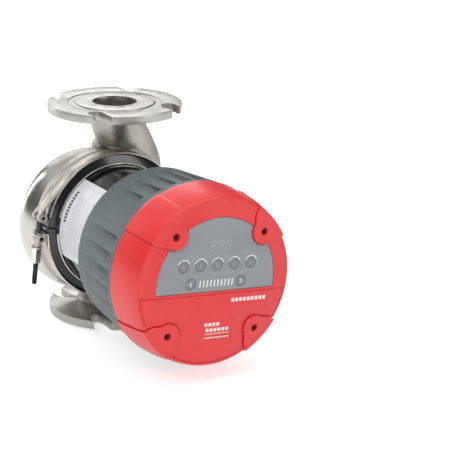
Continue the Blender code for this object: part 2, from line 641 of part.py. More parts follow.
def ribbed_shell():
    front = COVER_REAR - GAP
    inner_rear = shell_radius(0.1128) - SHELL_WALL
    shell = turned("ribbed_shell", [
        (shell_radius(front) - SHELL_WALL, front), (shell_radius(front), front),
        (SHELL_REAR_R, SHELL_REAR + 0.0020), (SHELL_REAR_R - 0.0020, SHELL_REAR),
        (MOTOR_R + 0.0005, SHELL_REAR),
        (MOTOR_R + 0.0005, 0.1128), (inner_rear, 0.1128)], 48, mat=SHELL_GREY, parent=head_axis)
    cut(shell, fin_grooves())
    for number, x, y in corners():
        angle = math.atan2(y, x)
        rib = block("post_rib_" + str(number), (0.073, -0.0015, 0.1325),
                    (shell_radius(0.1325) - 0.001, 0.0015, 0.193),
                    parent=head_axis, guide=True)
        rib.rotation_euler = (0.0, 0.0, angle)
        post = rod("post_" + str(number), 0.0055, 0.1325, 0.195, 16, at=(x, y), parent=head_axis, guide=True)
        hole = rod("post_hole_" + str(number), 0.0024, 0.176, 0.20, 12, at=(x, y), parent=head_axis,
                   guide=True)
        join(shell, rib, post)
        cut(shell, hole)
    for number, x in ((1, -0.018), (2, 0.018)):
        cut(shell, cross_rod("conduit_hole_" + str(number), 0.0105, -0.12, -0.075, "Y", (x, 0.0, 0.150), 24,
                             parent=head_axis, guide=True))
        plug = cross_rod("conduit_plug_" + str(number), 0.0102, -0.0965, -0.084, "Y", (x, 0.0, 0.150), 24,
                         mat=BLACK, parent=head_axis)
        cut(plug, block("plug_slot_" + str(number), (x - 0.006, -0.10, 0.149), (x + 0.006, -0.0945, 0.151),
                        parent=head_axis, guide=True))


def head_insides():
    plate = ring("cooling_plate", 0.010, 0.0868, 0.1283, 0.1313, MIDDLE, mat=ALUMINIUM, parent=head_axis)
    for i in range(4):
        angle = i * math.pi / 2
        place = (0.050 * math.cos(angle), 0.050 * math.sin(angle))
        tag = str(i + 1)
        way = rod("motor_screw_way_" + tag, 0.0022, 0.120, 0.14, 8, at=place, parent=head_axis, guide=True)
        cut(plate, way)
        cut(bpy.data.objects["motor_housing"], way)
        screw = rod("motor_screw_" + tag, 0.0040, 0.1316, 0.1346, 8, at=place, mat=STEEL, parent=head_axis)
        join(screw, rod("motor_screw_shank_" + tag, 0.0018, 0.1225, 0.132, 8, at=place, parent=head_axis,
                        guide=True))
    rod("power_board", 0.066, 0.1500, 0.1516, MIDDLE, mat=BOARD, parent=head_axis)
    for number, x in ((1, -0.018), (2, 0.018)):
        rod("capacitor_" + str(number), 0.0125, 0.1519, 0.1820, 24, at=(x, 0.034), mat=BLACK,
            parent=head_axis)
    ring("line_choke", 0.008, 0.0165, 0.1519, 0.1660, 24, mat=COPPER, parent=head_axis, at=(0.0, -0.004, 0.0))
    block("terminal_block", (-0.034, -0.052, 0.1519), (0.034, -0.032, 0.1760), mat=PANEL_GREY,
          parent=head_axis)
    block("control_board", (-0.048, -0.004, 0.2360), (0.048, 0.046, 0.2376), mat=BOARD, parent=head_axis)
    block("display_module", (-0.022, 0.030, 0.2379), (0.022, 0.044, 0.2440), mat=BLACK,
          parent=head_axis)
    ring("cover_gasket", 0.0900, shell_radius(0.1935) - SHELL_WALL - 0.0005, 0.1935, 0.2000, WIDE, mat=RUBBER,
         parent=head_axis)


# ---------------------------------------------------------------- red cover and panel
COVER_SKIN = [(COVER_REAR_R, COVER_REAR), (0.0950, 0.2180), (0.0930, 0.2340), (0.0915, 0.2400),
              (CREASE_R, CREASE_F), (0.0740, 0.2464), (0.060, FACE_F)]


def lobe_limit():
    """Solid bounded by the cover's skin grown by the lobes' rise."""
    skin = [(r + LOBE_RISE, f + (LOBE_RISE if f > 0.24 else 0.0)) for r, f in COVER_SKIN]
    points = [(0.0, skin[-1][1])] + skin[::-1] + [(0.0, COVER_REAR)]
    return turned("lobe_limit", points, COVER_FACETS, closed=False, parent=head_axis, guide=True)


def lobe_outline(radius):
    """A lobe on the +X side: a round end, then straight sides that spread to the rim."""
    centre = math.hypot(SCREW_OFFSET, SCREW_OFFSET)
    spread = 0.024 + (radius - LOBE_R)
    round_end = arc((centre, 0.0), radius, math.radians(100), math.radians(260), 9)
    return round_end + [(0.092, -spread), (0.115, -spread - 0.004), (0.115, spread + 0.004), (0.092, spread)]


def lobes(name, radius, back, front):
    """The four lobes as separate prisms in one mesh."""
    bm = bmesh.new()
    for number, x, y in corners():
        angle = math.atan2(y, x)
        spin = Matrix.Rotation(angle, 2)
        outline = [spin @ Vector(point) for point in lobe_outline(radius)]
        bottom = [bm.verts.new((p.x, p.y, back)) for p in outline]
        top = [bm.verts.new((p.x, p.y, front)) for p in outline]
        bm.faces.new(bottom)
        bm.faces.new(top)
        count = len(outline)
        for i in range(count):
            bm.faces.new((bottom[i], bottom[(i + 1) % count], top[(i + 1) % count], top[i]))
    bmesh.ops.recalc_face_normals(bm, faces=bm.faces)
    return from_bmesh(name, bm, parent=head_axis, guide=True)


def segment(radius, chord, above, count=25):
    """The part of a disc above (or below) a level chord."""
    half = math.asin(chord / radius)
    if above:
        return arc((0, 0), radius, half, math.pi - half, count)
    return arc((0, 0), radius, math.pi - half, 2 * math.pi + half, count)


def control_cover():
    """Domed red cover with four screw lobes, open behind the panel and the lower plate."""
    skin = [(0.0, FACE_F)] + COVER_SKIN[::-1] + [(0.0, COVER_REAR)]
    cover = turned("control_cover", skin, COVER_FACETS, closed=False, mat=RED, parent=head_axis)
    proud = lobes("lobe_forms", LOBE_R, 0.18, 0.26)
    boolean(proud, lobe_limit(), "INTERSECT")
    join(cover, proud)
    cut(cover, turned("cover_hollow", [
        (0.0, 0.2398), (0.0869, 0.2398), (0.0900, 0.2340), (0.0932, 0.2080), (0.0932, 0.1868), (0.0, 0.1868)],
        COVER_FACETS, closed=False, parent=head_axis, guide=True))
    keep = lobes("lobe_keep", LOBE_R + 0.0006, 0.20, 0.28)
    panel_hole = prism("panel_hole", segment(PANEL_R, PANEL_BOTTOM, True), 0.2380, 0.26, parent=head_axis,
                       guide=True)
    plate_hole = prism("plate_hole", segment(PLATE_R, SEAM_UP, False), 0.2380, 0.26, parent=head_axis,
                       guide=True)
    for hole in (panel_hole, plate_hole):
        cut(hole, keep)
        cut(cover, hole)
    for number, x, y in corners():
        tag = str(number)
        boss = rod("lobe_boss_" + tag, 0.0065, COVER_REAR, 0.2450, 12, at=(x, y), parent=head_axis,
                   guide=True)
        join(cover, boss)
        cut(cover, rod("screw_recess_" + tag, 0.0042, 0.2400, 0.26, 12, at=(x, y), parent=head_axis,
                       guide=True),
            rod("screw_way_" + tag, 0.0024, 0.19, 0.25, 8, at=(x, y), parent=head_axis, guide=True))
        screw = rod("cover_screw_" + tag, 0.0037, 0.2403, 0.2440, 12, at=(x, y), mat=DARK_STEEL,
                    parent=head_axis)
        join(screw, rod("cover_screw_shank_" + tag, 0.0020, 0.1780, 0.2405, 8, at=(x, y), parent=head_axis,
                        guide=True))
        cut(screw, rod("cover_screw_socket_" + tag, 0.0020, 0.2425, 0.26, 6, at=(x, y), parent=head_axis,
                       guide=True))


def terminal_cover():
    """Flush lower plate of the cover: the cover's own skin, cut to the plate's outline."""
    skin = [(0.0, FACE_F)] + COVER_SKIN[:2:-1] + [(CREASE_R, 0.2395), (0.0, 0.2395)]
    plate = turned("terminal_cover", skin, COVER_FACETS, closed=False, mat=RED, parent=head_axis)
    outline = prism("plate_outline", segment(PLATE_R - 0.0005, SEAM_UP - 0.0005, False), 0.23, 0.27,
                    parent=head_axis, guide=True)
    cut(outline, lobes("lobe_clear", LOBE_R + 0.0011, 0.20, 0.28))
    boolean(plate, outline, "INTERSECT")


def key_places():
    """Name and centre of each key on the panel."""
    for i in range(5):
        yield "key_" + str(i + 1), (i - 2) * KEY_PITCH, KEY_ROW_UP
    yield "key_left", -ARROW_X, ARROW_UP
    yield "key_right", ARROW_X, ARROW_UP


def panel():
    overlay = prism("panel_overlay", segment(PANEL_R - 0.0005, PANEL_BOTTOM + 0.0005, True), 0.2443,
                    FACE_F - 0.0003,
                    mat=PANEL_GREY, parent=head_axis)
    cut(overlay, lobes("lobe_clear_panel", LOBE_R + 0.0011, 0.20, 0.28))
    for name, x, y in key_places():
        cut(overlay, rod(name + "_hole", KEY_R + 0.0004, 0.23, 0.26, 16, at=(x, y), parent=head_axis,
                         guide=True))
        bm = bmesh.new()
        bmesh.ops.create_cone(bm, cap_ends=True, segments=16, radius1=KEY_R, radius2=KEY_R, depth=0.0040)
        from_bmesh(name, bm, math.radians(40), mat=KEY_GREY, parent=head_axis, at=(x, y, FACE_F - 0.0018))


pump_casing()
casing_seals()
clamp_straps()
v_retainers()
clamp_fastener()
motor()
rotor()
ribbed_shell()
head_insides()
control_cover()
terminal_cover()
panel()
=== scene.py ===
"""Look of the circulator pump, built round its CAD frame.

Metres, +Z up along the two ports, the control panel towards -Y. Pieces on the shaft are
drawn in front-view frames: X right, Y up, Z forward (towards -Y).
"""
import math

import bmesh
import bpy
from mathutils import Euler, Matrix, Vector


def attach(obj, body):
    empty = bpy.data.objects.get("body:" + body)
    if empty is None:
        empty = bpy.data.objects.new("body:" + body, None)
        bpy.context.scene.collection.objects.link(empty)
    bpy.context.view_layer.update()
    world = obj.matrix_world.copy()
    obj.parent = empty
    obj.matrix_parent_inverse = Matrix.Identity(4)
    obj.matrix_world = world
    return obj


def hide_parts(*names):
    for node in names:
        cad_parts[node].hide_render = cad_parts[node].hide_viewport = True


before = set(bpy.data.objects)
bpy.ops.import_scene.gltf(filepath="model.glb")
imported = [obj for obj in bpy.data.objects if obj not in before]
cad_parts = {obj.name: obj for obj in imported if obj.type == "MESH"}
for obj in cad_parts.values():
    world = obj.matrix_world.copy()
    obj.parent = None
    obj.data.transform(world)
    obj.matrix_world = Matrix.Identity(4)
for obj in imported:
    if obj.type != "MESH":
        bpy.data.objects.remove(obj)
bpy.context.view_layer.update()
SCENE = bpy.context.scene

# ---- driving sizes
SHAFT_X = -0.0115
HEAD_TURN = 5.0            # degrees clockwise, as is the clamp's
CLAMP_TURN = 6.0
OUTLET_Z = 0.140
INLET_Z = -0.110
PORT_R = 0.02535
FLANGE_R = 0.0762
RAISED_R = 0.0455
RECESS_R = 0.0530
SLOT_X = 0.0460
SLOT_Y = 0.0427
SLOT_R = 0.0081
NECK_R = 0.0285
LIP_R = 0.0815
VOLUTE_R = 0.0665
BOWL_R = 0.0842
BOWL_WAIST = -0.033
BOWL_BACK = -0.066
STRAP_R = 0.0851
LOOP_R = 0.0046
BOLT_X = -0.0925           # clamp bolt's pivot, in the clamp's frame
PIVOT_UP = 0.0119
BOLT_F = 0.0156
SADDLE_DROP = 0.0241
MOTOR_R = 0.0719
PLUG_PLACES = ((1, -0.018), (2, 0.018))
PLUG_F = 0.150
COVER_REAR = 0.1968
FACE = 0.2468
LOBE_R = 0.0138
SCREW_OFFSET = 0.0528
PANEL_R = 0.0710
PANEL_BOTTOM = -0.0086
PLATE_R = 0.0876
SEAM_UP = -0.0112


# ---- frames and mesh helpers
def front_view(x, z, turn=0.0):
    """A front-view frame through (x, 0, z), turned clockwise in degrees."""
    angles = Euler((math.radians(90), math.radians(turn), 0.0))
    return Matrix.Translation((x, 0.0, z)) @ angles.to_matrix().to_4x4()


WORLD = Matrix.Identity(4)
SHAFT = front_view(SHAFT_X, 0.0)
BOWL = front_view(-0.019, -0.0055)
HEAD = front_view(SHAFT_X, 0.0, HEAD_TURN)
CLAMP = front_view(SHAFT_X, 0.0, CLAMP_TURN)
BOLT = CLAMP @ Matrix.Translation((BOLT_X, PIVOT_UP, BOLT_F))
DOWN = BOLT @ Matrix.Rotation(math.pi / 2, 4, "X")   # local Z runs down the bolt


def moved(where, x, y, z=0.0):
    """The same frame with its origin moved."""
    return where @ Matrix.Translation((x, y, z))


def plug_frame(x):
    """The frame of a conduit plug, its Z axis down through the shell's underside."""
    return moved(HEAD, x, 0.0, PLUG_F) @ Matrix.Rotation(math.pi / 2, 4, "X")


def put(name, mesh, where=WORLD, finish=None, sharp=32.0):
    """A finished mesh in the scene, its shape given in one of the frames."""
    mesh.transform(where)
    mesh.shade_smooth()
    mesh.set_sharp_from_angle(angle=math.radians(sharp))
    obj = bpy.data.objects.new(name, mesh)
    SCENE.collection.objects.link(obj)
    if finish:
        mesh.materials.append(finish)
    return obj


def from_bmesh(name, bm, where=WORLD, finish=None, sharp=32.0):
    bmesh.ops.recalc_face_normals(bm, faces=bm.faces)
    mesh = bpy.data.meshes.new(name)
    bm.to_mesh(mesh)
    bm.free()
    return put(name, mesh, where, finish, sharp)


def softened(profile, radius, closed):
    """The profile with its corners rounded."""
    out = []
    count = len(profile)
    for i, point in enumerate(profile):
        here = Vector(point)
        if not closed and i in (0, count - 1):
            out.append(tuple(here))
            continue
        before = Vector(profile[i - 1]) - here
        after = Vector(profile[(i + 1) % count]) - here
        if before.length < 1e-7 or after.length < 1e-7 or before.angle(after) > math.radians(165):
            out.append(tuple(here))
            continue
        reach = min(radius, before.length * 0.45, after.length * 0.45)
        start = here + before.normalized() * reach
        end = here + after.normalized() * reach
        for step in range(4):
            t = step / 3
            out.append(tuple(start * (1 - t) ** 2 + here * 2 * t * (1 - t) + end * t ** 2))
    return out


def lathe(name, profile, where=SHAFT, finish=None, steps=180, closed=True, soft=0.0, sharp=32.0):
    """Revolve (radius, forward) points about the frame's Z axis."""
    if soft:
        profile = softened(profile, soft, closed)
    bm = bmesh.new()
    turns = [(math.cos(2 * math.pi * k / steps), math.sin(2 * math.pi * k / steps)) for k in range(steps)]
    rings = []
    for r, f in profile:
        if r < 1e-7:
            rings.append([bm.verts.new((0.0, 0.0, f))] * steps)
        else:
            rings.append([bm.verts.new((r * c, r * s, f)) for c, s in turns])
    for i in range(len(profile) if closed else len(profile) - 1):
        a = rings[i]
        b = rings[(i + 1) % len(rings)]
        for k in range(steps):
            m = (k + 1) % steps
            corners = list(dict.fromkeys((a[k], a[m], b[m], b[k])))
            if len(corners) > 2:
                bm.faces.new(corners)
    return from_bmesh(name, bm, where, finish, sharp)


def ring(name, inner, outer, back, front, where=SHAFT, finish=None, steps=96, soft=0.0004):
    profile = [(inner, front), (outer, front), (outer, back), (inner, back)]
    return lathe(name, profile, where, finish, steps, soft=soft)


def disc(name, radius, back, front, where=SHAFT, finish=None, steps=48, soft=0.0, tip=None):
    """A closed cylinder or, with tip, a cone along the frame's Z axis."""
    profile = [(0.0, front), (radius if tip is None else tip, front), (radius, back), (0.0, back)]
    return lathe(name, profile, where, finish, steps, closed=False, soft=soft)


def eased(obj, soft):
    if soft:
        rounded(obj, soft)
    return obj


def prism(name, outline, back, front, where=HEAD, finish=None, soft=0.0):
    """A flat closed outline of (x, y) points drawn out along the frame's Z axis."""
    bm = bmesh.new()
    low = [bm.verts.new((x, y, back)) for x, y in outline]
    high = [bm.verts.new((x, y, front)) for x, y in outline]
    bm.faces.new(low)
    bm.faces.new(high)
    for i in range(len(outline)):
        j = (i + 1) % len(outline)
        bm.faces.new((low[i], low[j], high[j], high[i]))
    return eased(from_bmesh(name, bm, where, finish), soft)


def block(name, low, high, where=HEAD, finish=None, soft=0.0):
    outline = [(low[0], low[1]), (high[0], low[1]), (high[0], high[1]), (low[0], high[1])]
    return prism(name, outline, low[2], high[2], where, finish, soft)


def arc(centre, radius, start, end, count):
    """Points along an arc, angles in degrees."""
    out = []
    for i in range(count):
        a = math.radians(start + (end - start) * i / (count - 1))
        out.append((centre[0] + radius * math.cos(a), centre[1] + radius * math.sin(a)))
    return out


def ribbon(name, path, back, front, thickness, where=CLAMP, finish=None, soft=0.0):
    """A bent strip along an open (x, y) path."""
    outline = []
    for side in (1, -1):
        row = []
        for i, point in enumerate(path):
            ahead = Vector(path[min(i + 1, len(path) - 1)]) - Vector(path[max(i - 1, 0)])
            normal = Vector((-ahead.y, ahead.x)).normalized() * thickness / 2 * side
            row.append((point[0] + normal.x, point[1] + normal.y))
        outline += row if side > 0 else row[::-1]
    bm = bmesh.new()
    count = len(path)
    low = [bm.verts.new((x, y, back)) for x, y in outline]
    high = [bm.verts.new((x, y, front)) for x, y in outline]
    for i in range(2 * count):
        j = (i + 1) % (2 * count)
        bm.faces.new((low[i], low[j], high[j], high[i]))
    for i in range(count - 1):
        j = 2 * count - 1 - i
        bm.faces.new((low[i], low[i + 1], low[j - 1], low[j]))
        bm.faces.new((high[i], high[i + 1], high[j - 1], high[j]))
    return eased(from_bmesh(name, bm, where, finish), soft)


def tube(name, points, radii, where=WORLD, sides=48, width=1.0):
    """A smooth closed pipe through points, with a radius at each."""
    data = bpy.data.curves.new(name, "CURVE")
    data.dimensions = "3D"
    data.resolution_u = 12
    data.bevel_depth = 1.0
    data.bevel_resolution = (sides - 4) // 2
    data.use_fill_caps = True
    spline = data.splines.new("BEZIER")
    spline.bezier_points.add(len(points) - 1)
    for knot, place, radius in zip(spline.bezier_points, points, radii):
        knot.co = place
        knot.radius = radius
        knot.handle_left_type = "AUTO"
        knot.handle_right_type = "AUTO"
    curve = bpy.data.objects.new(name + "_curve", data)
    SCENE.collection.objects.link(curve)
    graph = bpy.context.evaluated_depsgraph_get()
    bm = bmesh.new()
    bm.from_mesh(bpy.data.meshes.new_from_object(curve.evaluated_get(graph)))
    bpy.data.objects.remove(curve, do_unlink=True)
    bmesh.ops.remove_doubles(bm, verts=bm.verts, dist=0.00001)
    bmesh.ops.scale(bm, verts=bm.verts, vec=(width, 1.0, 1.0))
    return from_bmesh(name, bm, where)


def rounded(obj, width, segments=2, angle=35.0):
    step = obj.modifiers.new("edges", "BEVEL")
    step.width = width
    step.segments = segments
    step.limit_method = "ANGLE"
    step.angle_limit = math.radians(angle)
    step.use_clamp_overlap = True


def settle(obj, sharp=32.0):
    """Apply an object's modifiers."""
    graph = bpy.context.evaluated_depsgraph_get()
    mesh = bpy.data.meshes.new_from_object(obj.evaluated_get(graph))
    obj.modifiers.clear()
    obj.data = mesh
    mesh.shade_smooth()
    mesh.set_sharp_from_angle(angle=math.radians(sharp))


def carve(obj, *others, operation="DIFFERENCE", sharp=32.0):
    """Cut other solids away from obj (or join them to it), then remove them."""
    for other in others:
        step = obj.modifiers.new("carve", "BOOLEAN")
        step.operation = operation
        step.solver = "EXACT"
        step.object = other
    settle(obj, sharp)
    for other in others:
        bpy.data.objects.remove(other, do_unlink=True)
    return obj


def merged(name, objects, finish=None):
    """Several meshes as one object."""
    bm = bmesh.new()
    for obj in objects:
        bm.from_mesh(obj.data)
        bpy.data.objects.remove(obj, do_unlink=True)
    mesh = bpy.data.meshes.new(name)
    bm.to_mesh(mesh)
    bm.free()
    return put(name, mesh, finish=finish)


# ---- materials
def fill(node, **values):
    """Set a node's inputs by name, with underscores for spaces."""
    for name, value in values.items():
        node.inputs[name.replace("_", " ")].default_value = value
    return node


def add_node(tree, kind, **values):
    return fill(tree.nodes.new("ShaderNode" + kind), **values)


class Nodes:
    """A small hand on one material's node tree."""

    def __init__(self, name, colour, rough, metal=0.0, coat=0.0, coat_rough=0.1):
        self.material = bpy.data.materials.new(name)
        self.material.use_nodes = True
        self.tree = self.material.node_tree
        self.shader = self.tree.nodes["Principled BSDF"]
        fill(self.shader, Base_Color=(*colour, 1.0), Roughness=rough, Metallic=metal, Coat_Weight=coat,
             Coat_Roughness=coat_rough)
        self.material.diffuse_color = (*colour, 1.0)
        self.coords = self.add("TexCoord").outputs["Object"]

    def add(self, kind, **values):
        return add_node(self.tree, kind, **values)

    def link(self, source, target):
        if hasattr(source, "is_output"):
            self.tree.links.new(source, target)
        else:
            target.default_value = source

    def stretched(self, scale):
        """Object coordinates scaled along X, Y and Z."""
        mapping = self.add("Mapping", Scale=scale)
        self.link(self.coords, mapping.inputs["Vector"])
        return mapping.outputs["Vector"]

    def noise(self, scale, detail=3.0, vector=None, rough=0.5):
        node = self.add("TexNoise", Scale=scale, Detail=detail, Roughness=rough)
        self.link(self.coords if vector is None else vector, node.inputs["Vector"])
        return node.outputs["Fac"]

    def spread(self, value, low, high, start=0.3, end=0.7):
        """Map a value to a range."""
        node = self.add("MapRange", From_Min=start, From_Max=end, To_Min=low, To_Max=high)
        self.link(value, node.inputs["Value"])
        return node.outputs["Result"]

    def maths(self, operation, a, b=0.0, c=None):
        node = self.add("Math")
        node.operation = operation
        self.link(a, node.inputs[0])
        self.link(b, node.inputs[1])
        if c is not None:
            self.link(c, node.inputs[2])
        return node.outputs[0]

    def times(self, a, b):
        return self.maths("MULTIPLY", a, b)

    def mix(self, factor, a, b):
        """Mix two colours."""
        node = self.add("Mix")
        node.data_type = "RGBA"
        self.link(factor, node.inputs["Factor"])
        for value, socket in ((a, node.inputs["A"]), (b, node.inputs["B"])):
            if isinstance(value, tuple):
                socket.default_value = (*value, 1.0)
            else:
                self.link(value, socket)
        return node.outputs["Result"]

    def split(self):
        node = self.add("SeparateXYZ")
        self.link(self.coords, node.inputs[0])
        return node.outputs

    def bump(self, height, strength, distance, under=None):
        node = self.add("Bump", Strength=strength, Distance=distance)
        self.link(height, node.inputs["Height"])
        if under is not None:
            self.link(under, node.inputs["Normal"])
        return node.outputs["Normal"]

    def set(self, socket, value):
        self.link(value, self.shader.inputs[socket])


def shade(colour, factor):
    return tuple(min(1.0, c * factor) for c in colour)


def finish(name, colour, rough, metal=0.0, coat=0.0, patch=40.0, vary=0.10, swing=0.08,
           grain=900.0, relief=0.00004, coat_rough=0.1):
    """A plain finish: patches of colour and roughness, and a fine surface grain."""
    n = Nodes(name, colour, rough, metal, coat, coat_rough)
    broad = n.noise(patch, 4.0)
    n.set("Base Color", n.mix(n.spread(broad, 0.0, 1.0), shade(colour, 1 - vary), shade(colour, 1 + vary)))
    n.set("Roughness", n.spread(n.noise(patch * 2.7, 3.0), rough - swing, rough + swing))
    n.set("Normal", n.bump(n.noise(grain, 2.0), 0.5, relief))
    return n.material


def cast_steel():
    """Bead-blasted casting, polished on the bowl behind the collar."""
    n = Nodes("cast_stainless", (0.56, 0.53, 0.48), 0.4, 1.0)
    _, y, z = n.split()
    broad = n.noise(22.0, 5.0)
    fine = n.noise(160.0, 4.0)
    base = n.mix(n.spread(broad, 0.0, 1.0), (0.36, 0.34, 0.30), (0.52, 0.50, 0.46))
    base = n.mix(n.spread(fine, 0.0, 0.30), base, (0.60, 0.58, 0.54))
    behind = n.spread(y, 0.0, 1.0, 0.006, 0.010)
    low = n.spread(z, 1.0, 0.0, 0.058, 0.072)
    high = n.spread(z, 0.0, 1.0, -0.096, -0.088)
    polished = n.times(n.times(behind, low), high)
    n.set("Base Color", n.mix(polished, base, (0.64, 0.63, 0.61)))
    satin = n.spread(fine, 0.34, 0.50)
    bright = n.spread(n.noise(60.0, 3.0), 0.17, 0.26)
    rough = n.maths("ADD", n.times(satin, n.maths("SUBTRACT", 1.0, polished)),
                    n.times(bright, polished))
    n.set("Roughness", rough)
    grain = n.times(n.noise(700.0, 3.0), n.spread(polished, 1.0, 0.12, 0.0, 1.0))
    n.set("Normal", n.bump(grain, 0.6, 0.00016, n.bump(n.noise(45.0, 3.0), 0.25, 0.0004)))
    return n.material


def ribbed_plastic():
    """Fine-grained grey plastic, with shade painted into the depth of its grooves."""
    n = Nodes("shell_grey", (0.098, 0.124, 0.131), 0.46)
    depth = n.add("Attribute")
    depth.attribute_name = "depth"
    base = n.mix(n.spread(n.noise(35.0, 4.0), 0.0, 1.0), (0.092, 0.117, 0.124), (0.104, 0.131, 0.138))
    # Near-black mixed in by groove depth: painted shade in the grooves.
    n.set("Base Color", n.mix(n.spread(depth.outputs["Fac"], 0.0, 1.0, 0.15, 1.0), base,
                              (0.022, 0.029, 0.032)))
    n.set("Roughness", n.spread(n.noise(95.0), 0.41, 0.51))
    n.set("Normal", n.bump(n.noise(1400.0, 2.0), 0.5, 0.00006))
    return n.material


def turned_steel(name, colour, rough, across=2600.0, depth=0.00003, axis="Z"):
    """Steel with fine turning marks round an axis."""
    n = Nodes(name, colour, rough, 1.0)
    wave = n.add("TexWave", Scale=across, Distortion=1.2, Detail=2.0, Detail_Scale=0.02)
    wave.wave_type = "RINGS"
    wave.rings_direction = axis
    n.link(n.coords, wave.inputs["Vector"])
    broad = n.noise(30.0, 4.0)
    n.set("Base Color", n.mix(n.spread(broad, 0.0, 1.0), shade(colour, 0.88), shade(colour, 1.10)))
    n.set("Roughness", n.spread(n.noise(90.0, 4.0), rough - 0.08, rough + 0.10))
    n.set("Normal", n.bump(wave.outputs["Fac"], 0.35, depth, n.bump(n.noise(500.0, 3.0), 0.3, 0.00005)))
    return n.material


CAST = cast_steel()
FLANGE_STEEL = turned_steel("flange_stainless", (0.50, 0.49, 0.46), 0.34)
STRAP = finish("strap_stainless", (0.56, 0.52, 0.46), 0.40, 1.0, patch=60.0, vary=0.14, grain=1500.0)
# The V-retainers' polished steel is coloured near-black: a painted dark reflection.
FLANGE_DARK_REFLECTION = finish("black_flange", (0.010, 0.010, 0.011), 0.20, coat=0.6, patch=80.0, vary=0.3, swing=0.06)
EDGE = finish("flange_edge", (0.52, 0.49, 0.44), 0.30, 1.0, patch=90.0)
ZINC = finish("zinc_steel", (0.62, 0.60, 0.56), 0.26, 1.0, patch=150.0, vary=0.12)
DARK_BOLT = finish("dark_bolt", (0.10, 0.10, 0.10), 0.34, 1.0, patch=200.0, vary=0.3)
# Bright steel of the nut, also put on the clamp's lip and front bead as painted highlight lines.
BRIGHT_NUT_AND_HIGHLIGHT = finish("bright_nut_and_highlight", (0.85, 0.83, 0.78), 0.22, 1.0, patch=200.0, vary=0.06)
ENAMEL = finish("black_enamel", (0.010, 0.010, 0.009), 0.17, coat=0.5, patch=30.0, vary=0.4, swing=0.05,
                grain=180.0, relief=0.00005)
SHELL = ribbed_plastic()
RED = finish("cover_red", (0.780, 0.030, 0.034), 0.36, coat=0.2, patch=12.0, vary=0.02, swing=0.015,
             grain=1800.0, relief=0.00002, coat_rough=0.25)
PANEL = finish("panel_grey", (0.275, 0.300, 0.325), 0.42, patch=30.0, vary=0.03, grain=1600.0, relief=0.00002)
KEY = finish("key_grey", (0.215, 0.235, 0.258), 0.46, patch=60.0, vary=0.05, grain=1600.0, relief=0.00002)
PRINT = finish("panel_print", (0.80, 0.81, 0.82), 0.50, patch=200.0, vary=0.03)
FAINT = finish("faint_print", (0.36, 0.385, 0.41), 0.45, patch=200.0, vary=0.04)
SCREW = finish("blackened_steel", (0.22, 0.20, 0.19), 0.25, 1.0, patch=300.0, vary=0.3)
PLUG = finish("black_plastic", (0.020, 0.020, 0.021), 0.48, patch=60.0, vary=0.2, grain=1500.0,
              relief=0.00005)
ALUMINIUM = turned_steel("machined_aluminium", (0.72, 0.72, 0.74), 0.34, axis="Y")
LAMINATION = finish("lamination_steel", (0.30, 0.30, 0.32), 0.45, 1.0)
COPPER = finish("copper_winding", (0.72, 0.30, 0.14), 0.35, 1.0)
CERAMIC = finish("bearing_ceramic", (0.75, 0.72, 0.66), 0.30)
# Black rubber for the seals, also used as painted shade at the bottom of the bolt bores.
RUBBER_AND_BORE_SHADE = finish("seal_rubber", (0.015, 0.015, 0.016), 0.75, vary=0.2)
BOARD = finish("board_green", (0.02, 0.16, 0.07), 0.45, patch=200.0, vary=0.2)
BRASS = finish("ring_brass", (0.72, 0.50, 0.20), 0.30, 1.0)


def place(obj, body, slot, *nodes):
    """Say which body a piece rides on and the CAD nodes it stands for; the slot argument, its finish, is not
    used.
    """
    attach(obj, body)
    if nodes:
        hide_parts(*nodes)
    return obj


# ---- casing
def bowl_radius(forward):
    """Radius of the bowl's skin, widest at its waist and closing at the back."""
    if forward > BOWL_WAIST:
        return BOWL_R * math.sqrt(max(0.0, 1 - ((forward - BOWL_WAIST) / 0.0705) ** 2))
    along = (BOWL_WAIST - forward) / (BOWL_WAIST - BOWL_BACK)
    return BOWL_R * max(0.0, 1 - along ** 2.4) ** (1 / 2.4)


def bowl_profile(front, back, count, shrink=0.0):
    points = [(0.0, front)]
    for i in range(count):
        forward = front + (back - front) * math.sin(0.5 * math.pi * i / (count - 1))
        points.append((max(bowl_radius(forward) - shrink, 0.0), forward))
    if points[-1][0] > 1e-6:
        points.append((0.0, back))
    return points


def flange_profile(face, outward):
    """Half section of a flange: raised disc, recess and outer rim."""
    def level(depth):
        return face - outward * depth

    return [(0.0, level(0.0)), (RAISED_R, level(0.0)), (RAISED_R, level(0.0015)), (RECESS_R, level(0.0015)),
            (RECESS_R, level(0.0004)), (FLANGE_R, level(0.0004)), (FLANGE_R, level(0.010)),
            (0.0, level(0.010))]


def slot_cutters(face):
    """Four bolt slots, parallel to Y and open at the rim."""
    cutters = []
    for side in (-1, 1):
        for end in (-1, 1):
            x = side * SLOT_X
            y = end * SLOT_Y
            outline = arc((x, y), SLOT_R, 180, 360, 25) + [(x + SLOT_R, y + 0.06), (x - SLOT_R, y + 0.06)]
            if end < 0:
                outline = [(px, 2 * y - py) for px, py in outline]
            cutters.append(prism("slot_cut", outline, face - 0.02, face + 0.02, WORLD))
    return cutters


def pipe_flange(name, face, outward):
    obj = lathe(name, flange_profile(face, outward), WORLD, FLANGE_STEEL, 192, closed=False, soft=0.0007)
    bore = disc("bore", PORT_R, face - 0.03, face + 0.03, WORLD, steps=96)
    carve(obj, merged("slots", slot_cutters(face)), bore)
    rounded(obj, 0.0006, 2, 50.0)
    settle(obj)
    return place(obj, "casing", "cast_stainless", "pump_casing")


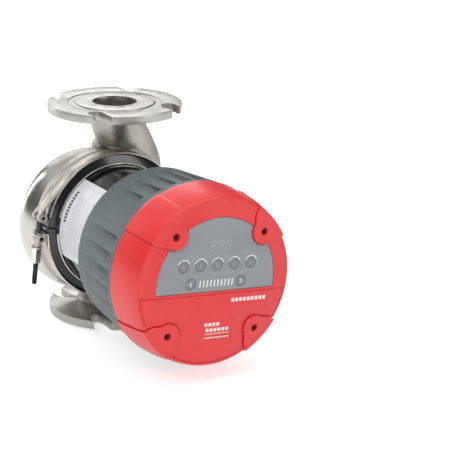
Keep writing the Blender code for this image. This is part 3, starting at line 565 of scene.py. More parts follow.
def casing():
    """Bowl, necks and flange roots melted into one casting, with a crisp collar and flanges."""
    forms = [
        lathe("bowl_form", bowl_profile(0.0, BOWL_BACK, 60), BOWL, steps=180, closed=False),
        disc("collar_form", 0.0790, -0.020, 0.0030, SHAFT, steps=120),
        tube("outlet_neck", [(0.0, 0.0, 0.134), (0.004, 0.003, 0.112), (0.016, 0.012, 0.098),
                             (0.028, 0.020, 0.080), (0.040, 0.024, 0.055), (0.044, 0.024, 0.020)],
             [NECK_R, NECK_R, 0.029, 0.030, 0.030, 0.026]),
        tube("outlet_web", [(-0.009, 0.0, 0.134), (-0.010, 0.003, 0.115), (-0.004, 0.012, 0.096),
                            (-0.003, 0.020, 0.078)], [0.016, 0.015, 0.013, 0.017]),
        disc("inlet_neck", NECK_R, -0.105, -0.089, WORLD, steps=64),
        disc("inlet_back", 0.0295, -0.104, -0.060, Matrix.Translation((-0.004, 0.018, 0.0)), steps=64,
             tip=0.036),
        disc("outlet_root", 0.047, 0.1300, 0.1370, WORLD, steps=64),
        disc("inlet_root", 0.047, -0.1070, -0.1000, WORLD, steps=64),
    ]
    body = merged("casing_body", forms, CAST)
    melt = body.modifiers.new("melt", "REMESH")
    melt.mode = "VOXEL"
    melt.voxel_size = 0.0016
    soften = body.modifiers.new("soften", "SMOOTH")
    soften.factor = 0.5
    soften.iterations = 9
    settle(body, 180.0)
    into = BOWL.inverted()
    for vertex in body.data.vertices:
        local = into @ vertex.co
        reach = math.hypot(local.x, local.y)
        if reach < 0.004 or local.z > -0.012 or local.z < -0.0658:
            continue
        wanted = bowl_radius(local.z)
        off = abs(reach - wanted)
        if wanted > 0.02 and off < 0.0012:
            pull = 1.0 - max(0.0, off - 0.0006) / 0.0006
            factor = 1 + (wanted / reach - 1) * pull
            vertex.co = BOWL @ Vector((local.x * factor, local.y * factor, local.z))
    clear = ring("clamp_space", 0.015, 0.0895, 0.0048, 0.040, SHAFT, steps=120, soft=0.0)
    hollow = lathe("volute_space", [(0.0, 0.020), (0.0703, 0.020), (0.0703, 0.0085), (VOLUTE_R, 0.0085),
                                    (VOLUTE_R, -0.016), (0.0, -0.016)], SHAFT, steps=96, closed=False)
    eye = disc("eye_space", 0.0315, -0.024, -0.012, SHAFT, steps=64)
    suction = lathe("suction_space", bowl_profile(-0.021, -0.060, 14, shrink=0.0095), BOWL, steps=72,
                    closed=False)
    outlet = tube("outlet_space", [(0.0, 0.0, 0.150), (0.0, 0.0, 0.128), (0.004, 0.003, 0.112),
                                   (0.016, 0.012, 0.098), (0.028, 0.015, 0.080), (0.035, 0.007, 0.055)],
                  [PORT_R, PORT_R, 0.0248, 0.024, 0.019, 0.0115])
    inlet = disc("inlet_space", PORT_R, -0.120, -0.094, WORLD, steps=64)
    bend = tube("inlet_bend", [(0.0, 0.010, -0.097), (-0.002, 0.020, -0.086), (-0.006, 0.034, -0.072),
                               (-0.008, 0.040, -0.050)], [0.0135, 0.0135, 0.0140, 0.0140], width=1.6)
    carve(body, clear, hollow, eye, suction, outlet, inlet, bend, sharp=40.0)
    place(body, "casing", "cast_stainless", "pump_casing")
    collar = lathe("casing_collar", [
        (LIP_R, 0.01535), (LIP_R, 0.0122), (0.0745, 0.0078), (0.0735, 0.0050), (0.0857, 0.0050),
        (0.0857, -0.0085), (0.0795, -0.0100), (0.0720, -0.0120), (0.0672, -0.0120), (0.0672, 0.0085),
        (0.0705, 0.0085), (0.0705, 0.01535)], SHAFT, CAST, 240, soft=0.0011)
    place(collar, "casing", "cast_stainless", "pump_casing")
    pipe_flange("outlet_flange", OUTLET_Z, 1)
    pipe_flange("inlet_flange", INLET_Z, -1)


# ---- V-band clamp
def clamp():
    """Two bent straps with curled ends, two V-section half rings and the hinge pin."""
    distance = math.hypot(BOLT_X, PIVOT_UP)
    leave = math.degrees(math.atan2(PIVOT_UP, BOLT_X) - math.acos((STRAP_R - LOOP_R) / distance))
    curl = arc((0.0885, 0.0), 0.0034, 423, 180, 28)
    upper = curl + arc((0, 0), STRAP_R, 3, leave, 90)
    upper += arc((BOLT_X, PIVOT_UP), LOOP_R, leave + 3, leave + 250, 30)
    ear_start = 180 + math.degrees(math.asin(0.0067 / STRAP_R)) + 1.6
    lower = [(x, -y) for x, y in curl] + arc((0, 0), STRAP_R, -3, ear_start - 360, 110)
    lower += [(-0.0858, -0.0075), (-0.0862, -0.0070), (-0.0867, -0.00675), (-0.0874, -0.0067),
              (-0.0957, -0.0067)]
    for tag, path, cuts in (
            ("upper", upper, [((0.080, -0.006, 0.0), (0.096, 0.0052, 0.0128)),
                              ((0.080, -0.006, 0.0184), (0.096, 0.0052, 0.03)),
                              ((-0.105, 0.0045, 0.0119), (-0.0885, 0.0168, 0.0193))]),
            ("lower", lower, [((0.080, -0.0052, 0.0122), (0.096, 0.006, 0.0190)),
                              ((-0.105, -0.012, 0.0119), (-0.0885, 0.0, 0.0193))])):
        strap = ribbon("clamp_strap_" + tag + "_skin", path, 0.0062, 0.0250, 0.0012, CLAMP, STRAP)
        carve(strap, *[block("strap_cut", low, high, CLAMP) for low, high in cuts])
        rounded(strap, 0.00028, 2, 50.0)
        settle(strap)
        place(strap, "casing", "cast_stainless", "clamp_strap_" + tag)
    section = [(0.0842, 0.0222), (0.0842, 0.0088), (0.0760, 0.0057), (0.0745, 0.0058), (0.0748, 0.0072),
               (0.0820, 0.0118), (0.0820, 0.0192), (0.0752, 0.0236), (0.0726, 0.0246), (0.0728, 0.0257),
               (0.0752, 0.0252)]
    # The half rings' near-black colour is the painted dark reflection of their polished steel.
    for tag, low, high in (("upper", -0.1, 0.0012), ("lower", -0.0012, 0.1)):
        half = lathe("v_retainer_" + tag + "_skin", section, CLAMP, FLANGE_DARK_REFLECTION, 240, soft=0.0005)
        carve(half, block("half_gap", (-0.1, low, 0.0), (0.1, high, 0.04), CLAMP))
        place(half, "casing", "black_flange", "v_retainer_" + tag)
    # The lip and the front bead are retainer and strap edges in the bright finish: painted highlight lines.
    gaps = [((-0.1, -0.0068, 0.0), (-0.06, 0.0125, 0.04)), ((0.060, -0.0045, 0.0), (0.1, 0.0045, 0.04))]
    for tag, radius, forward, size, surface in (("lip", 0.0736, 0.0258, 0.0012, BRIGHT_NUT_AND_HIGHLIGHT),
                                                ("bead", STRAP_R + 0.0001, 0.0252, 0.0009, BRIGHT_NUT_AND_HIGHLIGHT),
                                                ("rear_bead", STRAP_R + 0.0001, 0.0062, 0.0007, EDGE)):
        edge = lathe("clamp_" + tag, arc((radius, forward), size, 0, -324, 10), CLAMP, surface, 240)
        carve(edge, *[block("edge_gap", low, high, CLAMP) for low, high in gaps])
        place(edge, "casing", "cast_stainless")
    pin = disc("hinge_pin_skin", 0.0025, 0.0050, 0.0262, moved(CLAMP, 0.0885, 0.0), ZINC, 32,
               soft=0.0006)
    place(pin, "casing", "bright_steel", "clamp_hinge_pin")
    for number, angle in enumerate((148.0, 151.5, 20.0, 23.5)):
        spot = disc("spot_weld_" + str(number + 1), 0.0012, 0.0, 0.0001,
                    CLAMP @ Matrix.Rotation(math.radians(angle), 4, "Z")
                    @ Matrix.Translation((STRAP_R + 0.00062, 0.0, 0.0150))
                    @ Matrix.Rotation(math.pi / 2, 4, "Y"),
                    DARK_BOLT, 20)
        place(spot, "casing", "cast_stainless")


def thread(name, radius, root, start, end, pitch, where, surface):
    """A rod with a real helical thread between start and end, chamfered at its tip."""
    sides = 24
    rows_a_turn = 10
    bm = bmesh.new()
    rows = []
    count = int((end - start) / pitch * rows_a_turn)
    for i in range(count + 1):
        along = start + (end - start) * i / count
        fade = min(1.0, i / 10, (count - i) / 12)
        row = []
        for k in range(sides):
            turn = k / sides
            phase = (along / pitch - turn) % 1.0
            wave = abs(2 * phase - 1)
            r = root + (radius - root) * min(1.0, wave * 1.3) * fade
            a = 2 * math.pi * turn
            row.append(bm.verts.new((r * math.cos(a), r * math.sin(a), along)))
        rows.append(row)
    for i in range(count):
        for k in range(sides):
            m = (k + 1) % sides
            bm.faces.new((rows[i][k], rows[i][m], rows[i + 1][m], rows[i + 1][k]))
    for row, depth in ((rows[0], -0.0006), (rows[-1], 0.0006)):
        centre = bm.verts.new((0.0, 0.0, row[0].co.z + depth))
        for k in range(sides):
            bm.faces.new((row[k], row[(k + 1) % sides], centre))
    return from_bmesh(name, bm, where, surface, 60.0)


def fastener():
    """T-bolt with a hollow trunnion, its saddle, a collar washer and a long bright nut."""
    trunnion = ring("bolt_trunnion", 0.0021, 0.0038, -0.0072, 0.0104, BOLT, STRAP, 48, soft=0.0005)
    carve(trunnion, disc("core", 0.0030, -0.0045, 0.0073, BOLT, steps=32), operation="UNION")
    place(trunnion, "swing_bolt", "bright_steel", "clamp_bolt")
    # A near-black disc at the bottom of each bore: painted shade in the hollow.
    for tag, drop in (("bolt", 0.0), ("saddle", -SADDLE_DROP)):
        bore = disc(tag + "_bore_shade", 0.0021 if tag == "bolt" else 0.0024, 0.0070, 0.0078,
                    moved(BOLT, 0.0, drop), RUBBER_AND_BORE_SHADE, 32)
        place(bore, "swing_bolt", "bright_steel")
    shank = disc("bolt_shank", 0.0029, 0.002, 0.0540, DOWN, DARK_BOLT, 40, soft=0.0004)
    place(shank, "swing_bolt", "bright_steel", "clamp_bolt")
    tail = thread("bolt_thread", 0.0030, 0.00245, 0.0500, 0.0788, 0.0010, DOWN, DARK_BOLT)
    place(tail, "swing_bolt", "bright_steel", "clamp_bolt")
    reach = SADDLE_DROP
    seat = moved(BOLT, 0.0, -reach)
    saddle = ring("saddle_barrel", 0.0024, 0.0042, -0.0070, 0.0104, seat, STRAP, 48, soft=0.0005)
    carve(saddle, disc("core", 0.0034, -0.0043, 0.0071, seat, steps=32), operation="UNION")
    way = disc("way", 0.0034, reach - 0.012, reach + 0.02, DOWN, steps=32)
    stem = lathe("stem", [(0.0, reach), (0.0052, reach), (0.0052, reach + 0.0040), (0.0045, reach + 0.0050),
                          (0.0045, reach + 0.0080), (0.0052, reach + 0.0090), (0.0052, reach + 0.0105),
                          (0.0, reach + 0.0105)], DOWN, steps=40, closed=False, soft=0.0004)
    carve(saddle, stem, operation="UNION")
    carve(saddle, way)
    place(saddle, "swing_bolt", "bright_steel", "clamp_saddle")
    top = reach + 0.0108
    washer = ring("washer_skin", 0.0033, 0.0068, top, top + 0.0014, DOWN, ZINC, 48, soft=0.0003)
    place(washer, "washer", "bright_steel", "clamp_washer")
    start = top + 0.0017
    nut = prism("nut_skin", arc((0, 0), 0.0057, 0, 300, 6), start, start + 0.0170, DOWN, BRIGHT_NUT_AND_HIGHLIGHT)
    cone = lathe("nut_cone", [(0.0, start - 0.0001), (0.0052, start - 0.0001), (0.0060, start + 0.0007),
                              (0.0060, start + 0.0163), (0.0052, start + 0.0171), (0.0, start + 0.0171)],
                 DOWN, steps=48, closed=False)
    carve(nut, cone, operation="INTERSECT")
    carve(nut, disc("nut_way", 0.0033, start - 0.01, start + 0.03, DOWN, steps=40))
    place(nut, "nut", "bright_steel", "clamp_nut")


# ---- motor
def label_paper():
    """White film with rows of small dark marks, like print too small to read."""
    n = Nodes("label_film", (0.80, 0.80, 0.83), 0.55)
    x, y, z = n.split()
    side = n.maths("SUBTRACT", x, SHAFT_X)
    angle = n.times(n.maths("ARCTAN2", z, side), 72.4)
    wrapped = n.maths("MODULO", n.maths("ADD", angle, 454.9), 454.9)
    around = n.maths("SUBTRACT", wrapped, 160.0)
    along = n.times(y, -1000.0)

    def band(value, low, high):
        return n.times(n.maths("GREATER_THAN", value, low), n.maths("LESS_THAN", value, high))

    def stripes(value, pitch, share):
        return n.maths("LESS_THAN", n.maths("FRACT", n.maths("DIVIDE", value, pitch)), share)

    words = n.maths("GREATER_THAN", n.noise(900.0, 2.0, n.stretched((0.3, 1.0, 1.0))), 0.47)
    small = n.times(stripes(along, 3.4, 0.5), words)
    small = n.times(small, band(along, 45.0, 80.0))
    small = n.times(small, band(around, 16.0, 82.0))
    heads = n.times(stripes(around, 3.9, 0.66), band(along, 33.5, 38.5))
    heads = n.times(heads, band(around, 12.0, 50.0))
    mark = n.maths("MAXIMUM", heads, n.times(small, 0.35))
    paper = n.mix(n.spread(n.noise(60.0, 4.0), 0.0, 1.0), (0.76, 0.77, 0.80), (0.86, 0.86, 0.89))
    n.set("Base Color", n.mix(mark, paper, (0.05, 0.05, 0.06)))
    n.set("Normal", n.bump(n.noise(300.0, 2.0), 0.3, 0.00008))
    return n.material


def motor():
    """Black motor body and its label."""
    housing = lathe("motor_skin", [
        (0.012, 0.128), (MOTOR_R, 0.128), (MOTOR_R, 0.0250), (0.0740, 0.0232), (LIP_R, 0.0188),
        (LIP_R, 0.01565),
        (0.0706, 0.01565), (0.0706, 0.0222), (0.0687, 0.0222), (0.0687, 0.124), (0.012, 0.124)],
        HEAD, ENAMEL, 240, soft=0.0010)
    for turn in range(4):
        a = turn * math.pi / 2
        spot = moved(HEAD, 0.05 * math.cos(a), 0.05 * math.sin(a))
        carve(housing, disc("way", 0.0024, 0.12, 0.14, spot, steps=16))
    place(housing, "head", "black_enamel", "motor_housing")
    path = arc((0, 0), 0.0724, 128, 204, 90)
    label = ribbon("rating_label_film", path, 0.0272, 0.0880, 0.0002, HEAD, label_paper())
    place(label, "head", "label_white", "rating_label")


# ---- ribbed shell
def shell_radius(forward):
    return 0.0901 + 0.0065 * (forward - 0.1088) / 0.0880


def ease(value, low, high):
    t = min(1.0, max(0.0, (value - low) / (high - low)))
    return t * t * (3 - 2 * t)


FIN_PITCH = 11.0
GROOVE_DEPTH = 0.0034
FIN_GROUPS = ((92.5, 7), (183.5, 6), (272.5, 7), (3.5, 6))    # middle angle and number of grooves
WALLS = [middle + (i - (count - 1) / 2) * FIN_PITCH for middle, count in FIN_GROUPS for i in range(count)]


def skin_offset(degrees, forward):
    """How far the shell departs from its cone: sawtooth grooves, and a pad behind each cover lobe."""
    start, end = 0.1180, 0.1895
    for wall in WALLS:
        off = (degrees - wall + 180) % 360 - 180
        if 0.0 <= off < FIN_PITCH * 0.84:
            first = forward - 0.0105 * (abs((wall % 180) - 125.5) < 1)
            if not start < forward < end - (forward - first):
                return 0.0
            across = off / (FIN_PITCH * 0.84)
            side = ease(across, 0.0, 0.05) * (1 - across) ** 1.1
            along = (forward - start) / (end - start)
            return -GROOVE_DEPTH * along ** 0.85 * side
    lobe = (degrees % 90) - 45
    if -6.0 < lobe < 14.0 and forward > 0.114:
        return 0.0006 * ease(lobe, -6.0, 4.0) * (1 - ease(lobe, 13.6, 14.0)) * ease(forward, 0.114, 0.120)
    return 0.0


def shell():
    """The ribbed shell as one fine grid round its cone, and the two conduit plugs."""
    steps = 1440
    rows = [(0.0724, 0.1128), (0.0724, 0.1090), (0.0732, 0.1088), (0.0880, 0.1088), (0.0893, 0.1091),
            (0.0899, 0.1098)]
    skin = [0.1110, 0.1150, 0.1190]
    skin += [0.1190 + 0.0596 * i / 20 for i in range(1, 21)]
    skin += [0.1789, 0.1792, 0.1825, 0.1860, 0.1892, 0.1896, 0.1930, 0.1960]
    grid = [(shell_radius(f), f, True) for f in skin]
    inner = [(0.0963, 0.1965, False), (0.0936, 0.1965, False), (0.0872, 0.1128, False)]
    grid = [(r, f, False) for r, f in rows] + grid + inner
    bm = bmesh.new()
    # Groove depth at each vertex, which the shell material turns into painted shade.
    depth = bm.verts.layers.float.new("depth")
    rings = []
    for r, f, cut in grid:
        row = []
        for k in range(steps):
            degrees = 360 * k / steps
            offset = skin_offset(degrees, f) if cut else 0.0
            a = math.radians(degrees)
            row.append(bm.verts.new(((r + offset) * math.cos(a), (r + offset) * math.sin(a), f)))
            row[-1][depth] = max(0.0, -offset / GROOVE_DEPTH)
        rings.append(row)
    for i in range(len(rings)):
        a, b = rings[i], rings[(i + 1) % len(rings)]
        for k in range(steps):
            m = (k + 1) % steps
            bm.faces.new((a[k], a[m], b[m], b[k]))
    skin_obj = from_bmesh("shell_skin", bm, HEAD, SHELL, 38.0)
    for _, x in PLUG_PLACES:
        carve(skin_obj, disc("conduit_way", 0.0106, 0.07, 0.12, plug_frame(x), steps=48), sharp=38.0)
    place(skin_obj, "head", "shell_grey", "ribbed_shell")
    for number, x in PLUG_PLACES:
        down = plug_frame(x)
        plug = disc("plug_skin_" + str(number), 0.0102, 0.0840, 0.0965, down, PLUG, 64, soft=0.0008)
        carve(plug, block("slot", (-0.006, -0.001, 0.0945), (0.006, 0.001, 0.10), down),
              ring("groove", 0.0078, 0.0086, 0.0958, 0.10, down, steps=64, soft=0.0))
        place(plug, "head", "black_plastic", "conduit_plug_" + str(number))


# ---- red cover
SKIN = [(0.0966, COVER_REAR), (0.09625, 0.2030), (0.0957, 0.2100), (0.0950, 0.2180), (0.0941, 0.2265),
        (0.0929, 0.2340), (0.0915, 0.2400), (0.0905, 0.2434), (0.0897, 0.2441), (0.0888, 0.2439),
        (0.0810, 0.2447), (0.0740, 0.2462), (0.0700, FACE), (0.0, FACE)]
CORNERS = [(1, SCREW_OFFSET, SCREW_OFFSET), (2, -SCREW_OFFSET, SCREW_OFFSET),
           (3, -SCREW_OFFSET, -SCREW_OFFSET), (4, SCREW_OFFSET, -SCREW_OFFSET)]


def lobe_outline(radius):
    centre = math.hypot(SCREW_OFFSET, SCREW_OFFSET)
    spread = 0.024 + (radius - LOBE_R)
    return arc((centre, 0.0), radius, 100, 260, 41) + [
        (0.0800, -spread + 0.0040), (0.092, -spread), (0.115, -spread - 0.004),
        (0.115, spread + 0.004), (0.092, spread), (0.0800, spread - 0.0040)]


def lobe_prisms(name, radius, back, front):
    made = []
    for number, x, y in CORNERS:
        spin = Matrix.Rotation(math.atan2(y, x), 2)
        outline = [tuple(spin @ Vector(p)) for p in lobe_outline(radius)]
        made.append(prism(name + str(number), outline, back, front, HEAD))
    return merged(name, made)


def segment(radius, chord, above, count=121):
    half = math.degrees(math.asin(chord / radius))
    if above:
        return arc((0, 0), radius, half, 180 - half, count)
    return arc((0, 0), radius, 180 - half, 360 + half, count)


def grown(swell):
    """The cover's skin grown outwards."""
    return [(r + swell if r > 0.001 else 0.0, f + (swell if f > 0.2425 else swell * 0.6 * (f > 0.236)))
            for r, f in SKIN]


def cover():
    """Domed cover with four screw lobes, its screws and the flush lower plate."""
    plain = lathe("cover_skin", SKIN[::-1] + [(0.0, COVER_REAR)], HEAD, RED, 192, closed=False)
    raised = lathe("raised", grown(0.0015)[::-1] + [(0.0, COVER_REAR)], HEAD, RED, 192, closed=False)
    carve(raised, lobe_prisms("lobes", LOBE_R, 0.19, 0.26), operation="INTERSECT")
    carve(plain, raised, operation="UNION")
    seam = lobe_prisms("seam", LOBE_R + 0.0008, 0.1970, 0.26)
    carve(seam, lobe_prisms("inner", LOBE_R, 0.19, 0.27),
          lathe("floor", grown(-0.0010)[::-1] + [(0.0, 0.1900)], HEAD, steps=192, closed=False))
    carve(plain, seam)
    carve(plain, lathe("hollow", [(0.0, 0.2398), (0.0869, 0.2398), (0.0900, 0.2340), (0.0932, 0.2080),
                                  (0.0932, 0.1868), (0.0, 0.1868)], HEAD, steps=192, closed=False))
    for hole in (prism("panel_hole", segment(PANEL_R, PANEL_BOTTOM, True), 0.2380, 0.26),
                 prism("plate_hole", segment(PLATE_R, SEAM_UP, False), 0.2380, 0.26)):
        carve(hole, lobe_prisms("keep", LOBE_R + 0.0006, 0.20, 0.28))
        carve(plain, hole)
    for number, x, y in CORNERS:
        spot = moved(HEAD, x, y)
        carve(plain, disc("boss", 0.0065, COVER_REAR, 0.2450, spot, steps=32), operation="UNION")
        carve(plain, disc("recess", 0.0040, 0.2400, 0.26, spot, steps=48),
              disc("way", 0.0024, 0.19, 0.25, spot, steps=24))
        screw = disc("screw_skin_" + str(number), 0.0036, 0.2403, 0.2440, spot, SCREW, 40, soft=0.0007)
        carve(screw, disc("socket", 0.0019, 0.2415, 0.26, spot, steps=6))
        carve(screw, disc("shank", 0.0020, 0.1790, 0.2410, spot, steps=20), operation="UNION")
        place(screw, "head", "dark_screw", "cover_screw_" + str(number))
    rounded(plain, 0.00035, 2, 30.0)
    settle(plain, 40.0)
    place(plain, "head", "cover_red", "control_cover")

    plate = lathe("plate_skin", SKIN[::-1][:6] + [(0.0890, 0.2395), (0.0, 0.2395)], HEAD, RED, 192,
                  closed=False)
    outline = prism("plate_outline", segment(PLATE_R - 0.0005, SEAM_UP - 0.0005, False), 0.23, 0.27)
    carve(outline, lobe_prisms("clear", LOBE_R + 0.0011, 0.20, 0.28))
    carve(plate, outline, operation="INTERSECT")
    rounded(plate, 0.0004, 2, 40.0)
    settle(plate, 40.0)
    place(plate, "head", "cover_red", "terminal_cover")


# ---- panel
KEYS = [("key_" + str(i + 1), (i - 2) * 0.02015, 0.0202) for i in range(5)]
KEYS += [("key_left", -0.0303, 0.0010), ("key_right", 0.0303, 0.0010)]


def flat_marks(name, shapes, back, front, surface=None):
    """Thin printed shapes as one piece."""
    return merged(name, [prism(name + "_part", shape, back, front) for shape in shapes], surface or PRINT)


def band(centre, radius, width, start, end, count=28):
    outer = arc(centre, radius + width / 2, start, end, count)
    return outer + arc(centre, radius - width / 2, end, start, count)


def bar(x0, y0, x1, y1, width):
    along = Vector((x1 - x0, y1 - y0)).normalized() * width / 2
    n = Vector((-along.y, along.x))
    return [(x0 - n.x, y0 - n.y), (x1 - n.x, y1 - n.y), (x1 + n.x, y1 + n.y), (x0 + n.x, y0 + n.y)]


def digit(x, y, width, height, thick, lean):
    """The seven strokes of an unlit display digit."""
    out = []
    half = height / 2
    for dx0, dy0, dx1, dy1 in ((0, 0, width, 0), (0, half, width, half), (0, height, width, height),
                               (0, 0, 0, half), (0, half, 0, height), (width, 0, width, half),
                               (width, half, width, height)):
        gap = thick * 0.65
        if dx0 == dx1:
            out.append(bar(x + dx0 + lean * (dy0 + gap), y + dy0 + gap, x + dx1 + lean * (dy1 - gap),
                           y + dy1 - gap, thick))
        else:
            out.append(bar(x + dx0 + gap + lean * dy0, y + dy0, x + dx1 - gap + lean * dy1, y + dy1, thick))
    return out


def icon(index, x, y):
    """A small plain symbol embossed on each key."""
    s = 0.0016
    if index == 0:
        return [band((x, y), s, 0.0005, 30, 330),
                bar(x + s * 0.5, y + s * 0.8, x + s * 1.3, y + s * 0.8, 0.0005)]
    if index == 1:
        return [bar(x - s, y + d, x + s, y + d, 0.0005) for d in (-0.0011, 0.0, 0.0011)]
    if index == 2:
        return [bar(x, y - s, x, y + s, 0.0005), band((x, y), s * 1.1, 0.0005, 0, 350)]
    if index == 3:
        return [bar(x - s, y - 0.0007, x + s, y - 0.0007, 0.0005),
                bar(x - s, y + 0.0007, x + s, y + 0.0007, 0.0005),
                bar(x - s, y - 0.0007, x - s, y + 0.0007, 0.0005),
                bar(x + s, y - 0.0007, x + s, y + 0.0007, 0.0005)]
    return [band((x, y), s * 1.1, 0.0005, 120, 420), bar(x, y, x, y + s * 1.3, 0.0005)]


def plate_marks():
    """Plain white dashes and a rule on the lower plate."""
    dashes = []
    for left, level, count, pitch, high in ((0.0210, -0.0195, 9, 0.0048, 0.0040),
                                            (-0.0090, -0.0445, 4, 0.0048, 0.0036),
                                            (-0.0070, -0.0505, 6, 0.0048, 0.0036),
                                            (-0.0080, -0.0590, 9, 0.0034, 0.0014)):
        dashes += [bar(left + i * pitch, level, left + (i + 0.72) * pitch, level, high) for i in range(count)]
    dashes.append(bar(-0.0080, -0.0548, 0.0220, -0.0548, 0.0007))
    mark = flat_marks("plate_dashes", dashes, FACE - 0.0001, FACE + 0.00012)
    place(mark, "head", "label_white")


def panel():
    top = FACE - 0.0003
    sheet = prism("panel_film", segment(PANEL_R - 0.0005, PANEL_BOTTOM + 0.0005, True), 0.2443, top, HEAD,
                  PANEL)
    carve(sheet, lobe_prisms("clear", LOBE_R + 0.0011, 0.20, 0.28))
    for name, x, y in KEYS:
        spot = moved(HEAD, x, y)
        carve(sheet, disc("way", 0.0062, 0.23, 0.26, spot, steps=64))
        dome = [(0.0, FACE + 0.00020), (0.0030, FACE + 0.00016), (0.0043, FACE), (0.0047, FACE - 0.0002),
                (0.0050, FACE - 0.0001), (0.0054, FACE + 0.0001), (0.0058, FACE - 0.0002),
                (0.0058, FACE - 0.0038),
                (0.0, FACE - 0.0038)]
        key = lathe(name + "_cap", dome, spot, KEY, 64, closed=False, soft=0.0003)
        place(key, name + "_body", "key_grey", name)
    rounded(sheet, 0.0002, 2, 50.0)
    settle(sheet)
    place(sheet, "head", "panel_grey", "panel_overlay")

    lift = 0.00008
    arcs = [band((x, y), 0.0072, 0.0011, 20, 160) for name, x, y in KEYS[:5]]
    rings = [band((x, y), 0.0071, 0.0004, 165, 375) for name, x, y in KEYS[:5]]
    rings += [band((x, y), 0.0070, 0.0004, 0, 359.9, 60) for name, x, y in KEYS[5:]]
    bars = []
    for i in range(10):
        x = -0.0190 + i * 0.0043
        bars.append([(x - 0.0010, -0.0030), (x + 0.0006, -0.0030), (x + 0.0010, 0.0044),
                     (x - 0.0006, 0.0044)])
    place(flat_marks("key_arcs", arcs, top - 0.0001, top + lift), "head", "label_white")
    place(flat_marks("level_bars", bars, top - 0.0001, top + lift), "head", "label_white")
    place(flat_marks("key_rings", rings, top - 0.0001, top + lift, FAINT), "head", "label_white")
    ruled = [bar(-0.0060, 0.0115, 0.0460, 0.0115, 0.0005), bar(-0.0060, 0.0115, -0.0060, 0.0128, 0.0005),
             bar(0.0460, 0.0115, 0.0460, 0.0128, 0.0005), bar(0.0010, 0.0115, 0.0010, 0.0098, 0.0005)]
    captions = [(-0.0403, 0.0103, 5), (-0.0202, 0.0103, 5), (-0.0215, 0.0445, 5), (0.0155, 0.0445, 5),
                (0.0303, 0.0103, 4)]
    for cx, cy, count in captions:
        for i in range(count):
            left = cx + (i - count / 2) * 0.0014
            ruled.append(bar(left, cy, left + 0.0009, cy, 0.0011))
    place(flat_marks("small_marks", ruled, top - 0.0001, top + lift, FAINT), "head", "label_white")
    digits = []
    for i in range(3):
        digits += digit(-0.0098 + i * 0.0085, 0.0360, 0.0052, 0.0096, 0.0011, 0.10)
    place(flat_marks("display_digits", digits, top - 0.0001, top + lift, FAINT), "head", "label_white")
    for index, (name, x, y) in enumerate(KEYS):
        if index < 5:
            shapes = icon(index, x, y)
            surface = FAINT
        else:
            way = -1 if name == "key_left" else 1
            shapes = [bar(x - way * 0.0013, y + 0.0022, x + way * 0.0016, y, 0.0009),
                      bar(x + way * 0.0016, y, x - way * 0.0013, y - 0.0022, 0.0009)]
            surface = PRINT
        mark = flat_marks(name + "_mark", shapes, FACE - 0.0002, FACE + 0.00030, surface)
        place(mark, name + "_body", "label_white")


# ---- pieces inside
INSIDE = [
    (ALUMINIUM, ("bearing_plate", "bearing_holder", "cooling_plate")),
    (ZINC, ("rotor_can", "shaft", "impeller_nut", "impeller", "motor_screw_1", "motor_screw_2",
            "motor_screw_3", "motor_screw_4")),
    (LAMINATION, ("stator_core", "rotor_core")),
    (COPPER, ("winding_rear", "winding_front", "line_choke")),
    (CERAMIC, ("rear_bearing", "front_bearing", "thrust_bearing")),
    (BRASS, ("wear_ring",)),
    (RUBBER_AND_BORE_SHADE, ("casing_o_ring", "cover_gasket")),
    (BOARD, ("power_board", "control_board")),
    (PLUG, ("capacitor_1", "capacitor_2", "display_module", "terminal_block")),
]


def insides():
    """The hidden pieces keep their CAD meshes and get their finishes here."""
    for surface, names in INSIDE:
        for name in names:
            for place_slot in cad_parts[name].material_slots:
                place_slot.material = surface


# ---- light, floor and camera
def soft_box(name, location, target, size, power, colour=(1.0, 1.0, 1.0)):
    data = bpy.data.lights.new(name, "AREA")
    data.shape = "RECTANGLE"
    data.size, data.size_y = size
    data.energy = power
    data.color = colour
    light = bpy.data.objects.new(name, data)
    light.location = location
    light.rotation_euler = (Vector(target) - Vector(location)).to_track_quat("-Z", "Y").to_euler()
    SCENE.collection.objects.link(light)


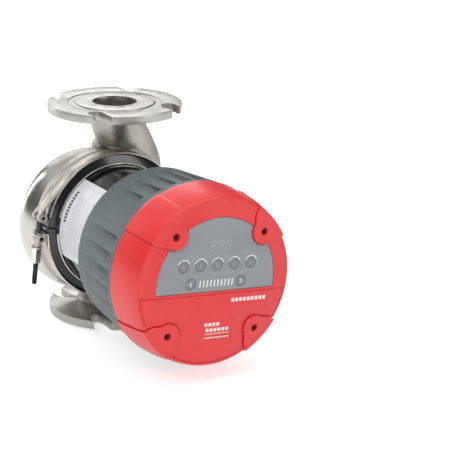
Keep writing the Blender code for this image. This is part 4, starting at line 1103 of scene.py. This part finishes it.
def studio():
    """A pale floor, a dim grey room and soft lamps round the pump."""
    bm = bmesh.new()
    bmesh.ops.create_circle(bm, cap_ends=True, segments=96, radius=9.0)
    bmesh.ops.translate(bm, verts=bm.verts, vec=(0.0, 0.0, -0.113))
    paper = Nodes("floor_white", (0.80, 0.80, 0.795), 0.8)
    seen = paper.add("LightPath")
    paper.set("Emission Color", paper.mix(seen.outputs["Is Camera Ray"], (0.30, 0.30, 0.30),
                                          (0.62, 0.62, 0.62)))
    paper.set("Emission Strength", 1.0)
    from_bmesh("floor", bm, WORLD, paper.material)
    SCENE.world = bpy.data.worlds.new("studio")
    SCENE.world.use_nodes = True
    tree = SCENE.world.node_tree
    background = tree.nodes["Background"]
    fill(background, Strength=1.0)
    coords = add_node(tree, "TexCoord")
    axes = add_node(tree, "SeparateXYZ")
    ramp = add_node(tree, "ValToRGB")
    for at, tone in ((0.0, 0.42), (0.46, 0.38), (0.54, 0.10), (0.72, 0.16), (1.0, 0.42)):
        stop = ramp.color_ramp.elements.new(at) if at not in (0.0, 1.0) else ramp.color_ramp.elements[int(at)]
        stop.color = (tone, tone, tone * 0.99, 1.0)
    shift = add_node(tree, "MapRange", From_Min=-1.0)
    seen = add_node(tree, "LightPath")
    chosen = add_node(tree, "Mix")
    chosen.data_type = "RGBA"
    fill(chosen, B=(1.0, 1.0, 0.995, 1.0))
    for source, out, target, into in (
            (coords, "Generated", axes, 0), (axes, "Z", shift, "Value"), (shift, "Result", ramp, "Fac"),
            (seen, "Is Camera Ray", chosen, "Factor"), (ramp, "Color", chosen, "A"),
            (chosen, "Result", background, "Color")):
        tree.links.new(source.outputs[out], target.inputs[into])
    aim = (0.0, -0.06, 0.02)
    soft_box("key_left", (-1.5, -0.9, 1.2), aim, (0.6, 1.5), 13.0)
    soft_box("top", (0.1, -0.3, 1.7), aim, (1.3, 1.0), 9.0)
    soft_box("front_right", (1.0, -1.6, 0.6), aim, (0.7, 1.0), 6.0)
    soft_box("strip", (-0.78, 1.62, -0.02), aim, (0.24, 2.4), 9.0)
    soft_box("behind", (0.4, 1.5, 0.9), aim, (1.2, 0.7), 6.0)


def camera():
    azimuth, elevation, roll = (math.radians(v) for v in (-31.89, 17.56, 1.35))
    right = Vector((math.cos(azimuth), math.sin(azimuth), 0.0))
    back = Vector((math.sin(azimuth) * math.cos(elevation), -math.cos(azimuth) * math.cos(elevation),
                   math.sin(elevation)))
    up = back.cross(right)
    level = right * math.cos(roll) + up * math.sin(roll)
    upright = up * math.cos(roll) - right * math.sin(roll)
    data = bpy.data.cameras.new("camera")
    data.sensor_width = 36.0
    data.lens = 122.4
    data.clip_start = 0.05
    view = bpy.data.objects.new("camera", data)
    view.matrix_world = Matrix((
        (level.x, upright.x, back.x, -0.7878), (level.y, upright.y, back.y, -1.5093),
        (level.z, upright.z, back.z, 0.5324), (0.0, 0.0, 0.0, 1.0)))
    SCENE.collection.objects.link(view)
    SCENE.camera = view
    SCENE.view_settings.view_transform = "Standard"


camera()
studio()
casing()
clamp()
fastener()
motor()
shell()
cover()
panel()
plate_marks()
insides()
